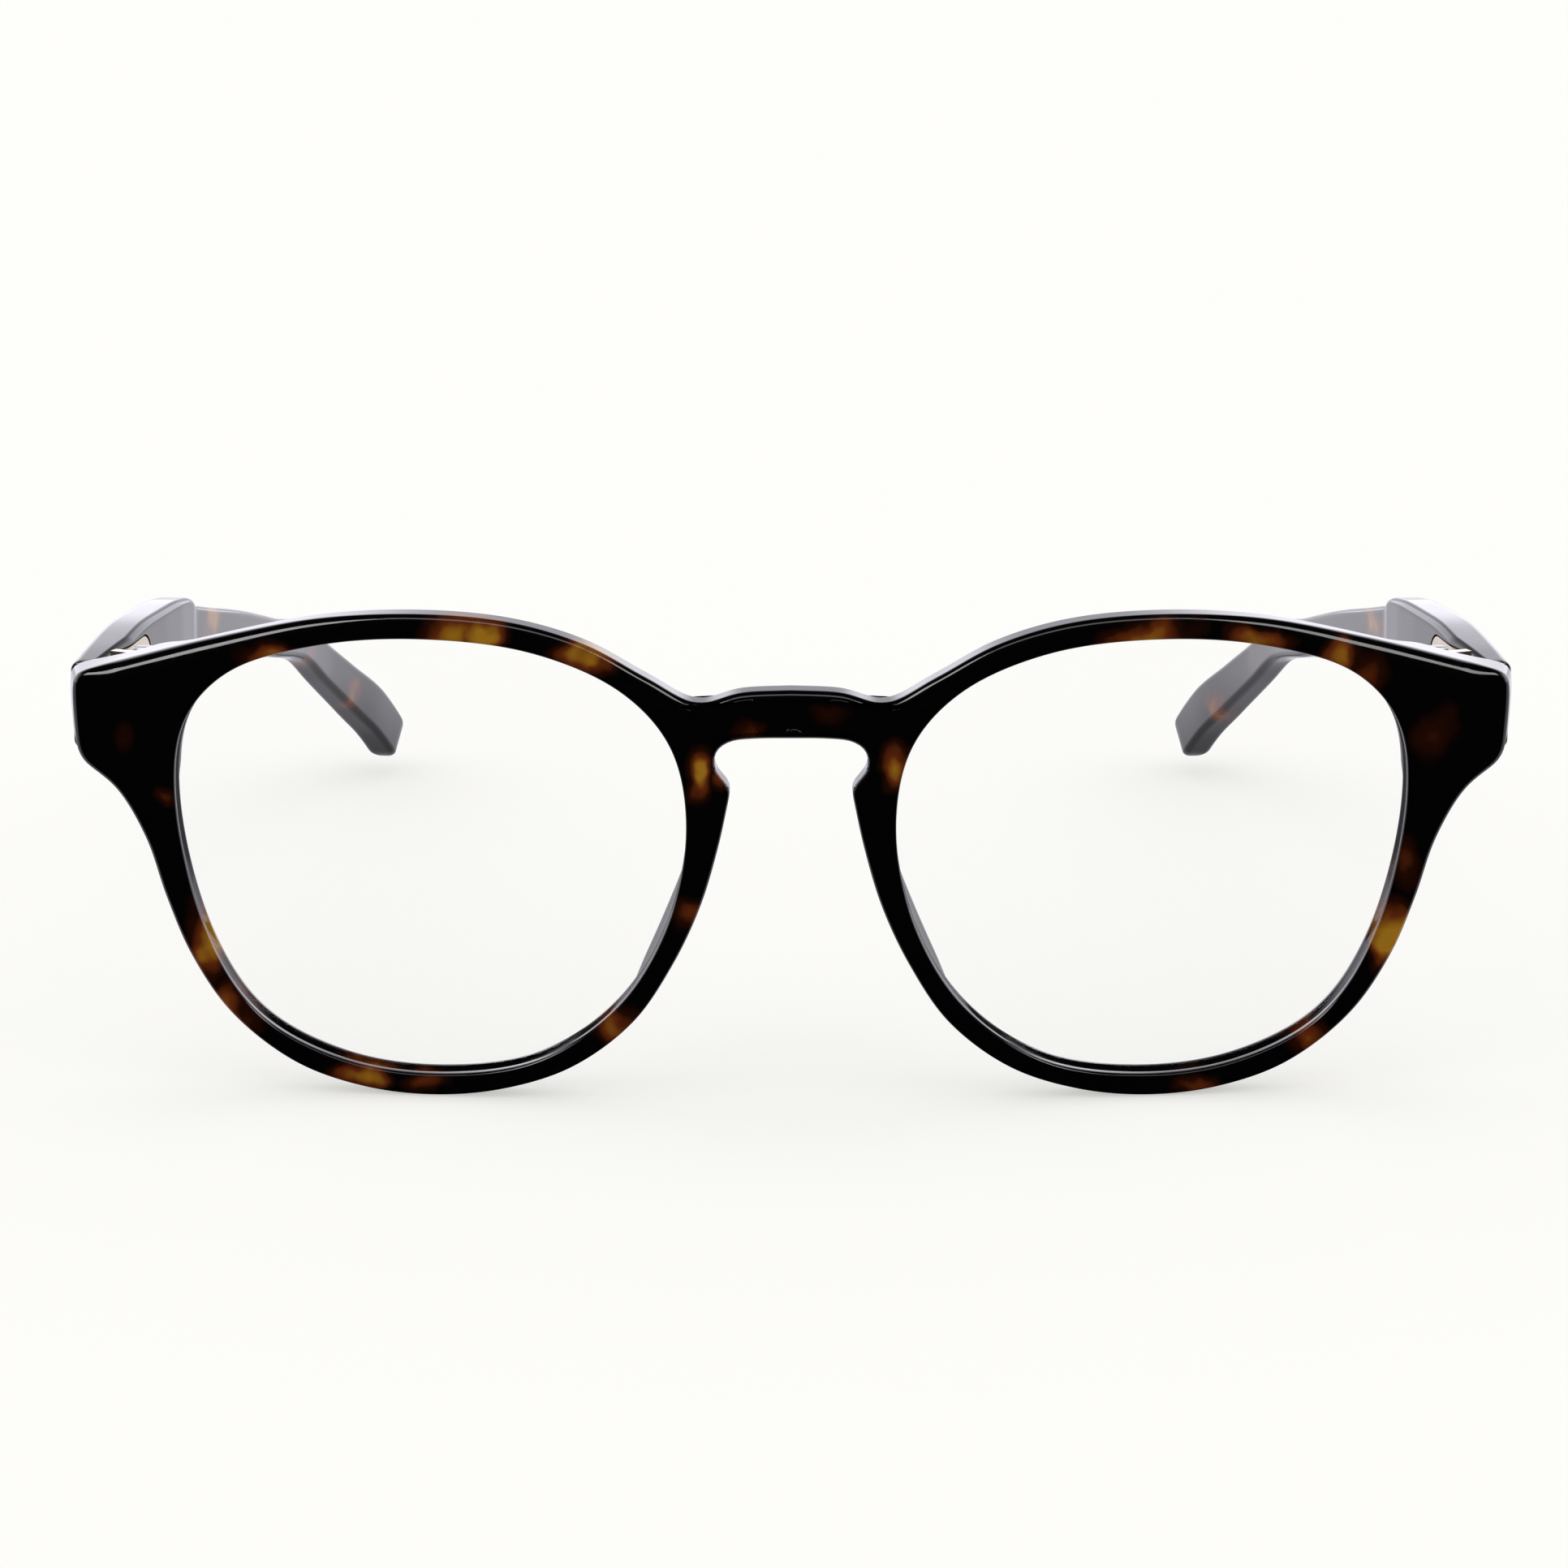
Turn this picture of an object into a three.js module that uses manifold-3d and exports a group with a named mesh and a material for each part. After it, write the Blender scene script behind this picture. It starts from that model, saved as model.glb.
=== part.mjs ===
// A pair of acetate spectacles with a keyhole bridge, standing open on the rims and on the temple tips.
// Millimetres. +Z is up, the front faces -Y and the temples run back along +Y. X = 0 is the plane of
// symmetry. "left" is the -X side. Each right-hand piece is drawn once and mirrored for the left side.
import * as THREE from 'three';
import * as BufferGeometryUtils from 'three/addons/utils/BufferGeometryUtils.js';
import Module from 'manifold-3d';

const wasm = await Module();
wasm.setup();

// ---------- driving dimensions ----------

// front
const FRONT_HALF_WIDTH = 71;        // half of the width of the front face, across the end-pieces
const SIDE_FLARE = 1.2;             // the side of an end-piece runs out by this much on its way back
const SIDE_FLARE_START = 66;        // the flare fades in from here outwards, along X
const LENS_HALF_WIDTH = 25.42;      // half of the width of the lens opening
const LENS_HEIGHT = 44.8;           // height of the lens opening
const LENS_CENTRE_X = 35.75;        // middle of one opening, from the plane of symmetry
const LENS_CENTRE_Z = 24.75;        // middle of the opening above the table
const RIM_THICKNESS = 3.6;          // front to back
const ENDPIECE_INNER_X = 61.9;      // the end-piece is thicker than the rim from here outwards
const ENDPIECE_BOTTOM_Z = 32.6;     // and from here upwards
const ENDPIECE_SLOPE = 1.2;         // its inner side leans by this much over its depth
const FLAT_BRIDGE_HALF = 9.2;       // the bridge is flat out to here, then the front curves back
const FACE_FORM = 0.0015;           // how fast it curves back: y = FACE_FORM * (distance past the bridge)^2
const LEAN = 1.2 * Math.PI / 180;   // the top of the front stands this far towards the viewer

// lenses
const GROOVE_DEPTH = 0.8;           // bezel groove inside the rim
const GROOVE_HALF_WIDTH = 0.9;
const GROOVE_FROM_FRONT = 1.9;
const LENS_CLEARANCE = 0.28;        // between the lens bevel and the groove
const LENS_EDGE_HALF = 0.45;        // half thickness of the lens just inside the bevel
const LENS_THICKNESS = 1.5;
const LENS_DOME = 1.0;              // how far the middle of the lens stands proud of its edge

// nose pads
const PAD_DEPTH = 5.2;              // how far a pad stands behind the rim
const PAD_THICKNESS = 2.2;
const PAD_TOP_Z = 28.5;
const PAD_BOTTOM_Z = 9;
const PAD_FLARE = 0.9;              // how far the back of a pad leans away from the nose
const GLUE_GAP = 0.1;

// temples
const TOE_IN = 5 * Math.PI / 180;   // the temples close towards each other by this angle
const MITRE_DEPTH = 4.85;           // thickness of the front where it meets the temple
const MITRE_Z = 38.6;               // measured at this height
const MITRE_GAP = 0.15;
const BLOCK_THICKNESS = 4.2;        // the stout part of the temple at the hinge
const ARM_THICKNESS = 3.2;          // the slimmer arm behind it
const TIP_THICKNESS = 3.6;
const TIP_INWARD = 4.4;             // the tips lean in by this much more than the arms
const TIP_BEND_START = 90;          // where they begin to, along the temple
const TIP_CUT_START = 112;          // behind here the sections lean, so that the tip is cut back below
const TIP_CUT_BACK = 0.45;          // by this share of its height
const TEMPLE_EDGE_RADIUS = 0.7;
const TAPER_LENGTH = 8.5;           // the inner face is cut back in front of the hinge leaf
const TAPER_DEPTH = 1.3;            // by this much at the mitre

// temple outline: distance along the arm from the mitre, height of the middle, height of the section
const TEMPLE_STATIONS = [
  { u: 0, z: 38.35, height: 8.9, thickness: BLOCK_THICKNESS },
  { u: 6, z: 38.95, height: 9.1, thickness: BLOCK_THICKNESS },
  { u: 14, z: 39.5, height: 9.2, thickness: BLOCK_THICKNESS },
  { u: 22, z: 39.3, height: 9.1, thickness: BLOCK_THICKNESS },
  { u: 29, z: 38.9, height: 9.0, thickness: BLOCK_THICKNESS - 0.1 },
  { u: 34, z: 38.35, height: 8.6, thickness: BLOCK_THICKNESS - 0.3 },
  { u: 35.6, z: 38.0, height: 8.1, thickness: BLOCK_THICKNESS - 0.3 },
  { u: 37, z: 37.75, height: 6.9, thickness: ARM_THICKNESS },
  { u: 48, z: 35.75, height: 5.8, thickness: ARM_THICKNESS },
  { u: 60, z: 33.35, height: 5.2, thickness: ARM_THICKNESS },
  { u: 68.7, z: 31.3, height: 4.9, thickness: ARM_THICKNESS },
  { u: 78, z: 28.9, height: 4.8, thickness: ARM_THICKNESS },
  { u: 94, z: 24.9, height: 4.9, thickness: ARM_THICKNESS },
  { u: 104, z: 19.9, height: 5.4, thickness: ARM_THICKNESS },
  { u: 114, z: 14.5, height: 6.1, thickness: TIP_THICKNESS - 0.2 },
  { u: 122.3, z: 9.5, height: 7.1, thickness: TIP_THICKNESS },
  { u: 127.3, z: 5.4, height: 7.6, thickness: TIP_THICKNESS },
  { u: 130.4, z: 2.3, height: 7.5, thickness: TIP_THICKNESS - 0.2 },
  { u: 131, z: 1.9, height: 5.6, thickness: 2.0 },
];

// hinges
const AXIS_INSIDE = 7.2;            // hinge axis from the outer face of the temple
const AXIS_BEHIND = 1.75;           // hinge axis from the mitre
const KNUCKLE_RADIUS = 1.45;
const KNUCKLE_COUNT = 5;            // 3 on the temple leaf and 2 on the front leaf
const KNUCKLE_HEIGHT = 1.2;
const KNUCKLE_GAP = 0.06;
const HINGE_CENTRE_Z = 40.6;
const SCREW_RADIUS = 0.6;
const SCREW_CLEARANCE = 0.08;
const SCREW_HEAD_RADIUS = 1.05;
const SCREW_HEAD_HEIGHT = 0.5;
const LEAF_THICKNESS = 1.0;
const LEAF_CLEARANCE = 0.1;
const LEAF_BELOW_TOP = 0.7;         // the leaves stop this far below the top knuckle
const LEAF_RECESS_BEYOND = 0.5;     // the temple's recess runs this far past the round end of the leaf
const FRONT_LEAF_WIDTH = 3.6;
const TEMPLE_LEAF_LENGTH = 13;
const WEB_THICKNESS = 1.0;

// core wires and plaques
const WIRE_RADIUS = 0.75;
const WIRE_CLEARANCE = 0.2;
const WIRE_START = 14.5;          // along the temple; the channel opens into the hinge pocket
const WIRE_END = 112;
const WIRE_JOG = [18, 40];          // where the wire comes over from the hinge leaf to the middle of the arm
const PLAQUE_LENGTH = 8;
const PLAQUE_HEIGHT = 3.2;
const PLAQUE_START = 4;             // along the temple
const PLAQUE_Z = 38.6;
const PLAQUE_DEPTH = 0.45;          // let into the temple
const PLAQUE_PROUD = 0.4;

// how finely curves are cut
const OUTLINE_STEPS = 3;
const LENS_STEPS = 4;
const ROUND_STEPS = 28;

// ---------- materials ----------

const acetate = new THREE.MeshStandardMaterial({ color: 0x1a0c06, roughness: 0.12, metalness: 0 });
const clearLens = new THREE.MeshStandardMaterial({
  color: 0xf4f8f8, roughness: 0.03, metalness: 0, transparent: true, opacity: 0.25,
});
const hingeMetal = new THREE.MeshStandardMaterial({ color: 0xc9b184, roughness: 0.3, metalness: 1 });
const screwMetal = new THREE.MeshStandardMaterial({ color: 0x9c9c9c, roughness: 0.35, metalness: 1 });
const wireMetal = new THREE.MeshStandardMaterial({ color: 0xb8b4aa, roughness: 0.35, metalness: 1 });
const plaqueMetal = new THREE.MeshStandardMaterial({ color: 0xa89f8c, roughness: 0.25, metalness: 1 });

// ---------- helpers ----------

// a smooth curve through points of a plane
function spline(points, steps, closed = false) {
  const curve = new THREE.CatmullRomCurve3(
    points.map(([x, z]) => new THREE.Vector3(x, z, 0)), closed, 'centripetal');
  const count = steps * (closed ? points.length : points.length - 1);
  return curve.getPoints(count).slice(0, closed ? count : count + 1).map((p) => [p.x, p.y]);
}

// a closed outline moved outwards (anticlockwise outlines) by a distance
function grow(outline, distance) {
  return outline.map(([x, z], i) => {
    const [ax, az] = outline.at(i - 1);
    const [bx, bz] = outline[(i + 1) % outline.length];
    const length = Math.hypot(bx - ax, bz - az);
    return [x + distance * (bz - az) / length, z - distance * (bx - ax) / length];
  });
}

// a closed body through rings of points, capped flat at both ends
function loft(rings) {
  const n = rings[0].length;
  const vertices = rings.flat();
  const indices = [];
  for (let r = 0; r + 1 < rings.length; r += 1) {
    for (let i = 0; i < n; i += 1) {
      const j = (i + 1) % n;
      const a = r * n;
      const b = a + n;
      indices.push(a + i, a + j, b + j, a + i, b + j, b + i);
    }
  }
  for (const [ring, start, flip] of [[rings[0], 0, true], [rings.at(-1), (rings.length - 1) * n, false]]) {
    const centre = [0, 1, 2].map((k) => ring.reduce((sum, p) => sum + p[k], 0) / n);
    const c = vertices.push(centre) - 1;
    for (let i = 0; i < n; i += 1) {
      const j = start + (i + 1) % n;
      indices.push(...(flip ? [c, j, start + i] : [c, start + i, j]));
    }
  }
  const geometry = new THREE.BufferGeometry();
  geometry.setAttribute('position', new THREE.Float32BufferAttribute(vertices.flat(), 3));
  geometry.setIndex(indices);
  return outward(geometry);
}

// turns the faces over when they point into the body
function outward(geometry) {
  const p = geometry.attributes.position;
  const index = geometry.index.array;
  const [a, b, c] = [new THREE.Vector3(), new THREE.Vector3(), new THREE.Vector3()];
  let volume = 0;
  for (let i = 0; i < index.length; i += 3) {
    a.fromBufferAttribute(p, index[i]);
    b.fromBufferAttribute(p, index[i + 1]);
    c.fromBufferAttribute(p, index[i + 2]);
    volume += a.dot(b.cross(c));
  }
  if (volume < 0) {
    for (let i = 0; i < index.length; i += 3) {
      [index[i + 1], index[i + 2]] = [index[i + 2], index[i + 1]];
    }
  }
  return geometry;
}

function merged(geometry) {
  const copy = geometry.clone();
  copy.deleteAttribute('normal');
  copy.deleteAttribute('uv');
  return BufferGeometryUtils.mergeVertices(copy, 1e-4);
}

function toSolid(geometry) {
  const clean = merged(geometry);
  return new wasm.Manifold(new wasm.Mesh({
    numProp: 3,
    vertProperties: new Float32Array(clean.attributes.position.array),
    triVerts: new Uint32Array(clean.index.array),
  }));
}

function toGeometry(solid) {
  const mesh = solid.getMesh();
  const geometry = new THREE.BufferGeometry();
  geometry.setAttribute('position', new THREE.BufferAttribute(new Float32Array(mesh.vertProperties), 3));
  geometry.setIndex(new THREE.BufferAttribute(new Uint32Array(mesh.triVerts), 1));
  return geometry;
}

function cut(geometry, ...cutters) {
  return toGeometry(cutters.reduce((solid, cutter) => solid.subtract(toSolid(cutter)), toSolid(geometry)));
}

function join(...geometries) {
  return toGeometry(geometries.map(toSolid).reduce((a, b) => a.add(b)));
}

function box(x0, x1, y0, y1, z0, z1) {
  return new THREE.BoxGeometry(x1 - x0, y1 - y0, z1 - z0)
    .translate((x0 + x1) / 2, (y0 + y1) / 2, (z0 + z1) / 2);
}

// an upright round bar at the origin of X and Y
function upright(radius, z0, z1) {
  return new THREE.CylinderGeometry(radius, radius, z1 - z0, ROUND_STEPS)
    .rotateX(Math.PI / 2).translate(0, 0, (z0 + z1) / 2);
}

function mirrored(geometry) {
  const copy = merged(geometry).scale(-1, 1, 1);
  return outward(copy);
}

// ---------- the curve of the front ----------

// depth of the front face at a place on it
function faceDepth(x, z) {
  const past = Math.max(Math.abs(x) - FLAT_BRIDGE_HALF, 0);
  return FACE_FORM * past * past - Math.tan(LEAN) * z;
}

// lays a flat piece, whose y is measured back from the front face, onto the curve of the front
function bend(geometry) {
  const p = geometry.attributes.position;
  for (let i = 0; i < p.count; i += 1) {
    const [x, y, z] = [p.getX(i), p.getY(i), p.getZ(i)];
    const flare = THREE.MathUtils.smoothstep(Math.abs(x), SIDE_FLARE_START, FRONT_HALF_WIDTH);
    p.setX(i, x + Math.sign(x) * flare * SIDE_FLARE * y / MITRE_DEPTH);
    p.setY(i, faceDepth(x, z) + y);
  }
  return geometry;
}

// ---------- lens opening, an anticlockwise outline seen from the front ----------

// shares of the half-width and of the height, from the middle of the opening
const LENS_SHAPE = [
  [1.000, 0.117], [0.953, 0.300], [0.770, 0.416], [0.404, 0.483], [-0.010, 0.500], [-0.423, 0.471],
  [-0.753, 0.387], [-0.938, 0.267], [-1.000, 0.095], [-0.938, -0.122], [-0.741, -0.325],
  [-0.423, -0.460], [-0.030, -0.500], [0.364, -0.473], [0.696, -0.373], [0.890, -0.195],
];
const opening = spline(
  LENS_SHAPE.map(([x, z]) => [LENS_CENTRE_X + x * LENS_HALF_WIDTH, LENS_CENTRE_Z + z * LENS_HEIGHT]),
  LENS_STEPS, true);

// ---------- front ----------

// the right half of the outline: over the top of the rim, round the end-piece, under the rim, up the
// nose side and round the keyhole
const BROW = [
  [0, 42.26], [5, 42.0], [9.2, 41.0], [14, 43.45], [20, 46.77], [27, 48.85], [36, 49.62], [46, 49.0],
  [57, 46.6], [FRONT_HALF_WIDTH - 1.2, 43.05],
];
const ENDPIECE_SIDE = [
  [FRONT_HALF_WIDTH - 1.2, 43.05], [FRONT_HALF_WIDTH - 0.25, 42.45], [FRONT_HALF_WIDTH, 41.4],
  [FRONT_HALF_WIDTH, 37.5], [FRONT_HALF_WIDTH - 0.25, 34.7], [FRONT_HALF_WIDTH - 0.85, 33.6],
];
const LOWER_RIM = [
  [FRONT_HALF_WIDTH - 0.85, 33.6], [67.15, 31], [64.4, 26], [62.6, 20], [60.3, 14], [56.4, 8],
  [50, 3.0], [43, 0.65], [36, 0.0], [29, 0.77], [22, 3.2], [15.8, 8], [11.8, 14], [9.0, 20.1], [7.2, 26.2],
  [6.0, 31.8],
];
const KEYHOLE = [
  [6.0, 31.8], [6.05, 32.5], [6.75, 33.3], [7.55, 34.6], [7.3, 36.1], [6.0, 37.05], [3.6, 37.35], [0, 37.4],
];

// a slab with the outline of the front, as deep as asked
function frontSlab(depth) {
  const half = [BROW, ENDPIECE_SIDE, LOWER_RIM, KEYHOLE]
    .flatMap((points) => spline(points, OUTLINE_STEPS).slice(0, -1));
  half.push(KEYHOLE.at(-1));
  const other = half.slice(1, -1).map(([x, z]) => [-x, z]).reverse();
  const toPoint = ([x, z]) => new THREE.Vector2(x, z);
  const shape = new THREE.Shape([...half, ...other].reverse().map(toPoint));
  shape.holes.push(new THREE.Path(opening.map(toPoint)));
  shape.holes.push(new THREE.Path(opening.map(([x, z]) => toPoint([-x, z]))));
  const slab = new THREE.ExtrudeGeometry(shape, { depth, bevelEnabled: false });
  return bend(merged(slab.rotateX(Math.PI / 2).translate(0, depth, 0)));
}

function frontGeometry() {
  const deep = toSolid(frontSlab(2 * MITRE_DEPTH));
  let front = toSolid(frontSlab(RIM_THICKNESS));
  for (const region of [endpieceRegion(), mirrored(endpieceRegion())]) {
    front = front.add(deep.intersect(toSolid(region)));
  }
  const groove = bend(discWithBevel(GROOVE_DEPTH, GROOVE_HALF_WIDTH, GROOVE_FROM_FRONT));
  for (const cutter of [groove, mitreCutter(), frontLeafPocket()]) {
    front = front.subtract(toSolid(cutter)).subtract(toSolid(mirrored(cutter)));
  }
  return toGeometry(front);
}

// the space where the front may be thicker than the rim
function endpieceRegion() {
  const behind = MITRE_Y + 1;
  const shape = new THREE.Shape([
    [ENDPIECE_INNER_X, 0], [FRONT_HALF_WIDTH + 5, 0], [FRONT_HALF_WIDTH + 5, behind],
    [ENDPIECE_INNER_X + ENDPIECE_SLOPE, behind],
  ].map(([x, y]) => new THREE.Vector2(x, y)));
  return new THREE.ExtrudeGeometry(shape, { depth: 30, bevelEnabled: false })
    .translate(0, 0, ENDPIECE_BOTTOM_Z);
}

// a disc that fills the lens opening, with a V-shaped edge that reaches past it
function discWithBevel(reach, halfWidth, depth) {
  const ring = (growth, y) => grow(opening, growth).map(([x, z]) => [x, y, z]);
  const inside = -reach * 0.25;
  return loft([
    ring(inside - 3, depth - halfWidth), ring(inside, depth - halfWidth), ring(reach, depth),
    ring(inside, depth + halfWidth), ring(inside - 3, depth + halfWidth),
  ]);
}

// ---------- placing pieces on the temple ----------

// The temple has its own axes: u runs back along it from the mitre, v is measured inwards from its outer
// face and z is up. The mitre is the plane u = 0.
const MITRE_Y = faceDepth(FRONT_HALF_WIDTH, MITRE_Z) + MITRE_DEPTH;

function onTemple(geometry) {
  return geometry.rotateZ(TOE_IN).translate(FRONT_HALF_WIDTH + SIDE_FLARE, MITRE_Y, 0);
}

// a block given along the temple's axes
function templeBox(u0, u1, v0, v1, z0, z1) {
  return box(-v1, -v0, u0, u1, z0, z1);
}

function mitreCutter() {
  return onTemple(templeBox(0, 12, -6, FRONT_HALF_WIDTH + SIDE_FLARE - ENDPIECE_INNER_X + 1, 20, 60));
}

// ---------- lens ----------

function lensGeometry() {
  const reach = GROOVE_DEPTH - LENS_CLEARANCE;
  const half = LENS_THICKNESS / 2;
  const ring = (share, growth, y) => grow(opening, growth).map(([x, z]) => [
    LENS_CENTRE_X + (x - LENS_CENTRE_X) * share, y, LENS_CENTRE_Z + (z - LENS_CENTRE_Z) * share,
  ]);
  const dome = (share) => -LENS_DOME * (1 - share * share);
  const rings = [];
  for (const share of [0.05, 0.5, 0.94]) {
    rings.push(ring(share, 0, GROOVE_FROM_FRONT - half + dome(share)));
  }
  rings.push(ring(1, -0.25, GROOVE_FROM_FRONT - LENS_EDGE_HALF));
  rings.push(ring(1, reach, GROOVE_FROM_FRONT));
  rings.push(ring(1, -0.25, GROOVE_FROM_FRONT + LENS_EDGE_HALF));
  for (const share of [0.94, 0.5, 0.05]) {
    rings.push(ring(share, 0, GROOVE_FROM_FRONT + half + dome(share)));
  }
  return bend(loft(rings));
}

// ---------- nose pad ----------

// where the nose side of the rim is, at a height
function noseSide(z) {
  const side = spline(LOWER_RIM, OUTLINE_STEPS).filter(([x]) => x < LENS_CENTRE_X - 8);
  const i = Math.max(side.findIndex((p) => p[1] > z), 1);
  const [[x0, z0], [x1, z1]] = [side[i - 1], side[i]];
  return x0 + (x1 - x0) * (z - z0) / (z1 - z0);
}

function nosePadGeometry() {
  const rings = [];
  const count = 11;
  for (let i = 0; i < count; i += 1) {
    const t = -Math.cos(Math.PI * i / (count - 1));
    const z = (PAD_TOP_Z + PAD_BOTTOM_Z) / 2 + t * (PAD_TOP_Z - PAD_BOTTOM_Z) / 2;
    const swell = Math.max(Math.sqrt(1 - t * t), 0.16);
    const root = noseSide(z) + 0.35;
    const depth = PAD_DEPTH * swell;
    const start = RIM_THICKNESS + GLUE_GAP;
    const width = PAD_THICKNESS * (0.45 + 0.55 * swell);
    // a section like a fin: straight where it is glued on, round at its free edge
    const outline = [[0, 0], [0.25, depth * 0.45]];
    for (let k = 0; k <= 6; k += 1) {
      const a = Math.PI * (1 - k / 6);
      outline.push([
        PAD_FLARE * swell + (width / 2) * (1 + Math.cos(a)),
        depth - 0.3 * width + 0.3 * width * Math.sin(a),
      ]);
    }
    outline.push([width + 0.55, depth * 0.45], [width, 0]);
    rings.push(outline.map(([x, y]) => [root + x, start + y, z]));
  }
  return bend(loft(rings));
}

// ---------- temple ----------

// the middle line of the temple: u, how far its outer face has come in, z, and the section there
function templeAt(u) {
  const last = TEMPLE_STATIONS.length - 1;
  const i = THREE.MathUtils.clamp(TEMPLE_STATIONS.filter((s) => s.u <= u).length, 1, last);
  const at = (k) => TEMPLE_STATIONS[THREE.MathUtils.clamp(k, 0, last)];
  const [before, a, b, after] = [at(i - 2), at(i - 1), at(i), at(i + 1)];
  const t = THREE.MathUtils.clamp((u - a.u) / (b.u - a.u), 0, 1);
  const slope = (p, q, key) => (q.u === p.u ? 0 : (q[key] - p[key]) / (q.u - p.u));
  const smooth = (key) => {
    const m0 = slope(before, b, key) * (b.u - a.u);
    const m1 = slope(a, after, key) * (b.u - a.u);
    const [t2, t3] = [t * t, t * t * t];
    return (2 * t3 - 3 * t2 + 1) * a[key] + (t3 - 2 * t2 + t) * m0
      + (-2 * t3 + 3 * t2) * b[key] + (t3 - t2) * m1;
  };
  const bent = Math.max(u - TIP_BEND_START, 0) / (TEMPLE_STATIONS[last].u - TIP_BEND_START);
  return {
    z: smooth('z'),
    height: a.height + (b.height - a.height) * t,
    thickness: a.thickness + (b.thickness - a.thickness) * t,
    inward: TIP_INWARD * bent * bent,
  };
}

function templeSlope(u) {
  const [a, b] = [templeAt(u - 0.5), templeAt(u + 0.5)];
  return Math.atan2(b.z - a.z, 1);
}

// a ring round the temple: a rectangle with rounded corners, square to the middle line
function templeRing(u) {
  const { z, height, thickness, inward } = templeAt(u);
  const slope = templeSlope(u) * THREE.MathUtils.smoothstep(u, 0, 50);
  const radius = Math.min(TEMPLE_EDGE_RADIUS, thickness * 0.4);
  const cutBack = TIP_CUT_BACK * THREE.MathUtils.smoothstep(u, TIP_CUT_START, TEMPLE_STATIONS.at(-1).u);
  const ring = [];
  const corners = [[1, 1, 0], [-1, 1, 1], [-1, -1, 2], [1, -1, 3]];
  for (const [sideways, up, quarter] of corners) {
    for (let k = 0; k <= 2; k += 1) {
      const a = (quarter + k / 2) * Math.PI / 2;
      const across = sideways * (thickness / 2 - radius) + radius * Math.cos(a);
      const rise = up * (height / 2 - radius) + radius * Math.sin(a);
      const along = cutBack * (rise - height / 2);
      ring.push([
        across - thickness / 2 - inward,
        u - rise * Math.sin(slope) + along * Math.cos(slope),
        z + rise * Math.cos(slope) + along * Math.sin(slope),
      ]);
    }
  }
  return ring;
}

function templeGeometry() {
  const rings = [];
  const stations = [MITRE_GAP, 3, 6, 10, 14, 18, 22, 27, 31, 34, 35.6, 37, 42, 48];
  const end = TEMPLE_STATIONS.at(-1).u;
  for (let u = 54; u < end - 3; u += 6) {
    stations.push(u);
  }
  stations.push(end - 0.6, end);
  for (const u of stations) {
    rings.push(templeRing(u));
  }
  const body = onTemple(loft(rings));
  return cut(body, templeLeafPocket(), taperCutter(), wireGeometry(WIRE_CLEARANCE), plaquePocket());
}

// the wedge that cuts the inner face back in front of the hinge leaf
function taperCutter() {
  const beyond = 1;
  const rise = TAPER_DEPTH / TAPER_LENGTH;
  const shape = new THREE.Shape([
    [-BLOCK_THICKNESS + TAPER_DEPTH + rise * beyond, -beyond],
    [-BLOCK_THICKNESS - rise * beyond, TAPER_LENGTH + beyond],
    [-BLOCK_THICKNESS - 3, TAPER_LENGTH + beyond], [-BLOCK_THICKNESS - 3, -beyond],
  ].map(([x, y]) => new THREE.Vector2(x, y)));
  return onTemple(new THREE.ExtrudeGeometry(shape, { depth: 30, bevelEnabled: false })
    .translate(0, 0, HINGE_CENTRE_Z - 15));
}

// ---------- hinge ----------

const KNUCKLE_STACK = KNUCKLE_COUNT * KNUCKLE_HEIGHT;
const STACK_BOTTOM = HINGE_CENTRE_Z - KNUCKLE_STACK / 2;
const LEAF_HEIGHT = KNUCKLE_STACK - LEAF_BELOW_TOP;

function knuckleSpan(k) {
  return [
    STACK_BOTTOM + k * KNUCKLE_HEIGHT + KNUCKLE_GAP / 2,
    STACK_BOTTOM + (k + 1) * KNUCKLE_HEIGHT - KNUCKLE_GAP / 2,
  ];
}

// moves a piece that is drawn round the hinge axis to its place on the temple's axes
function atAxis(geometry) {
  return geometry.translate(-AXIS_INSIDE, AXIS_BEHIND, 0);
}

// one knuckle and the web that ties it to its leaf; the web runs to (x, y) from the axis
function knuckle(k, x, y) {
  const [z0, z1] = knuckleSpan(k);
  const length = Math.hypot(x, y);
  const web = box(0, length, -WEB_THICKNESS / 2, WEB_THICKNESS / 2, z0, z1).rotateZ(Math.atan2(y, x));
  return join(upright(KNUCKLE_RADIUS, z0, z1), web);
}

function screwBore() {
  return atAxis(upright(SCREW_RADIUS + SCREW_CLEARANCE, STACK_BOTTOM - 2, STACK_BOTTOM + KNUCKLE_STACK + 2));
}

// the front leaf is sunk into the back of the end-piece
function frontLeafBox(clearance) {
  const middle = AXIS_INSIDE + 0.2;
  return templeBox(
    -LEAF_THICKNESS - clearance, clearance ? 1 : -0.05,
    middle - FRONT_LEAF_WIDTH / 2 - clearance, middle + FRONT_LEAF_WIDTH / 2 + clearance,
    STACK_BOTTOM - clearance, STACK_BOTTOM + LEAF_HEIGHT + clearance);
}

function frontLeafPocket() {
  return onTemple(frontLeafBox(LEAF_CLEARANCE));
}

function frontHingeGeometry() {
  const knuckles = [1, 3].map((k) => atAxis(knuckle(k, 0, -AXIS_BEHIND - LEAF_THICKNESS / 2)));
  return onTemple(cut(join(frontLeafBox(0), ...knuckles), screwBore()));
}

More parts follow.
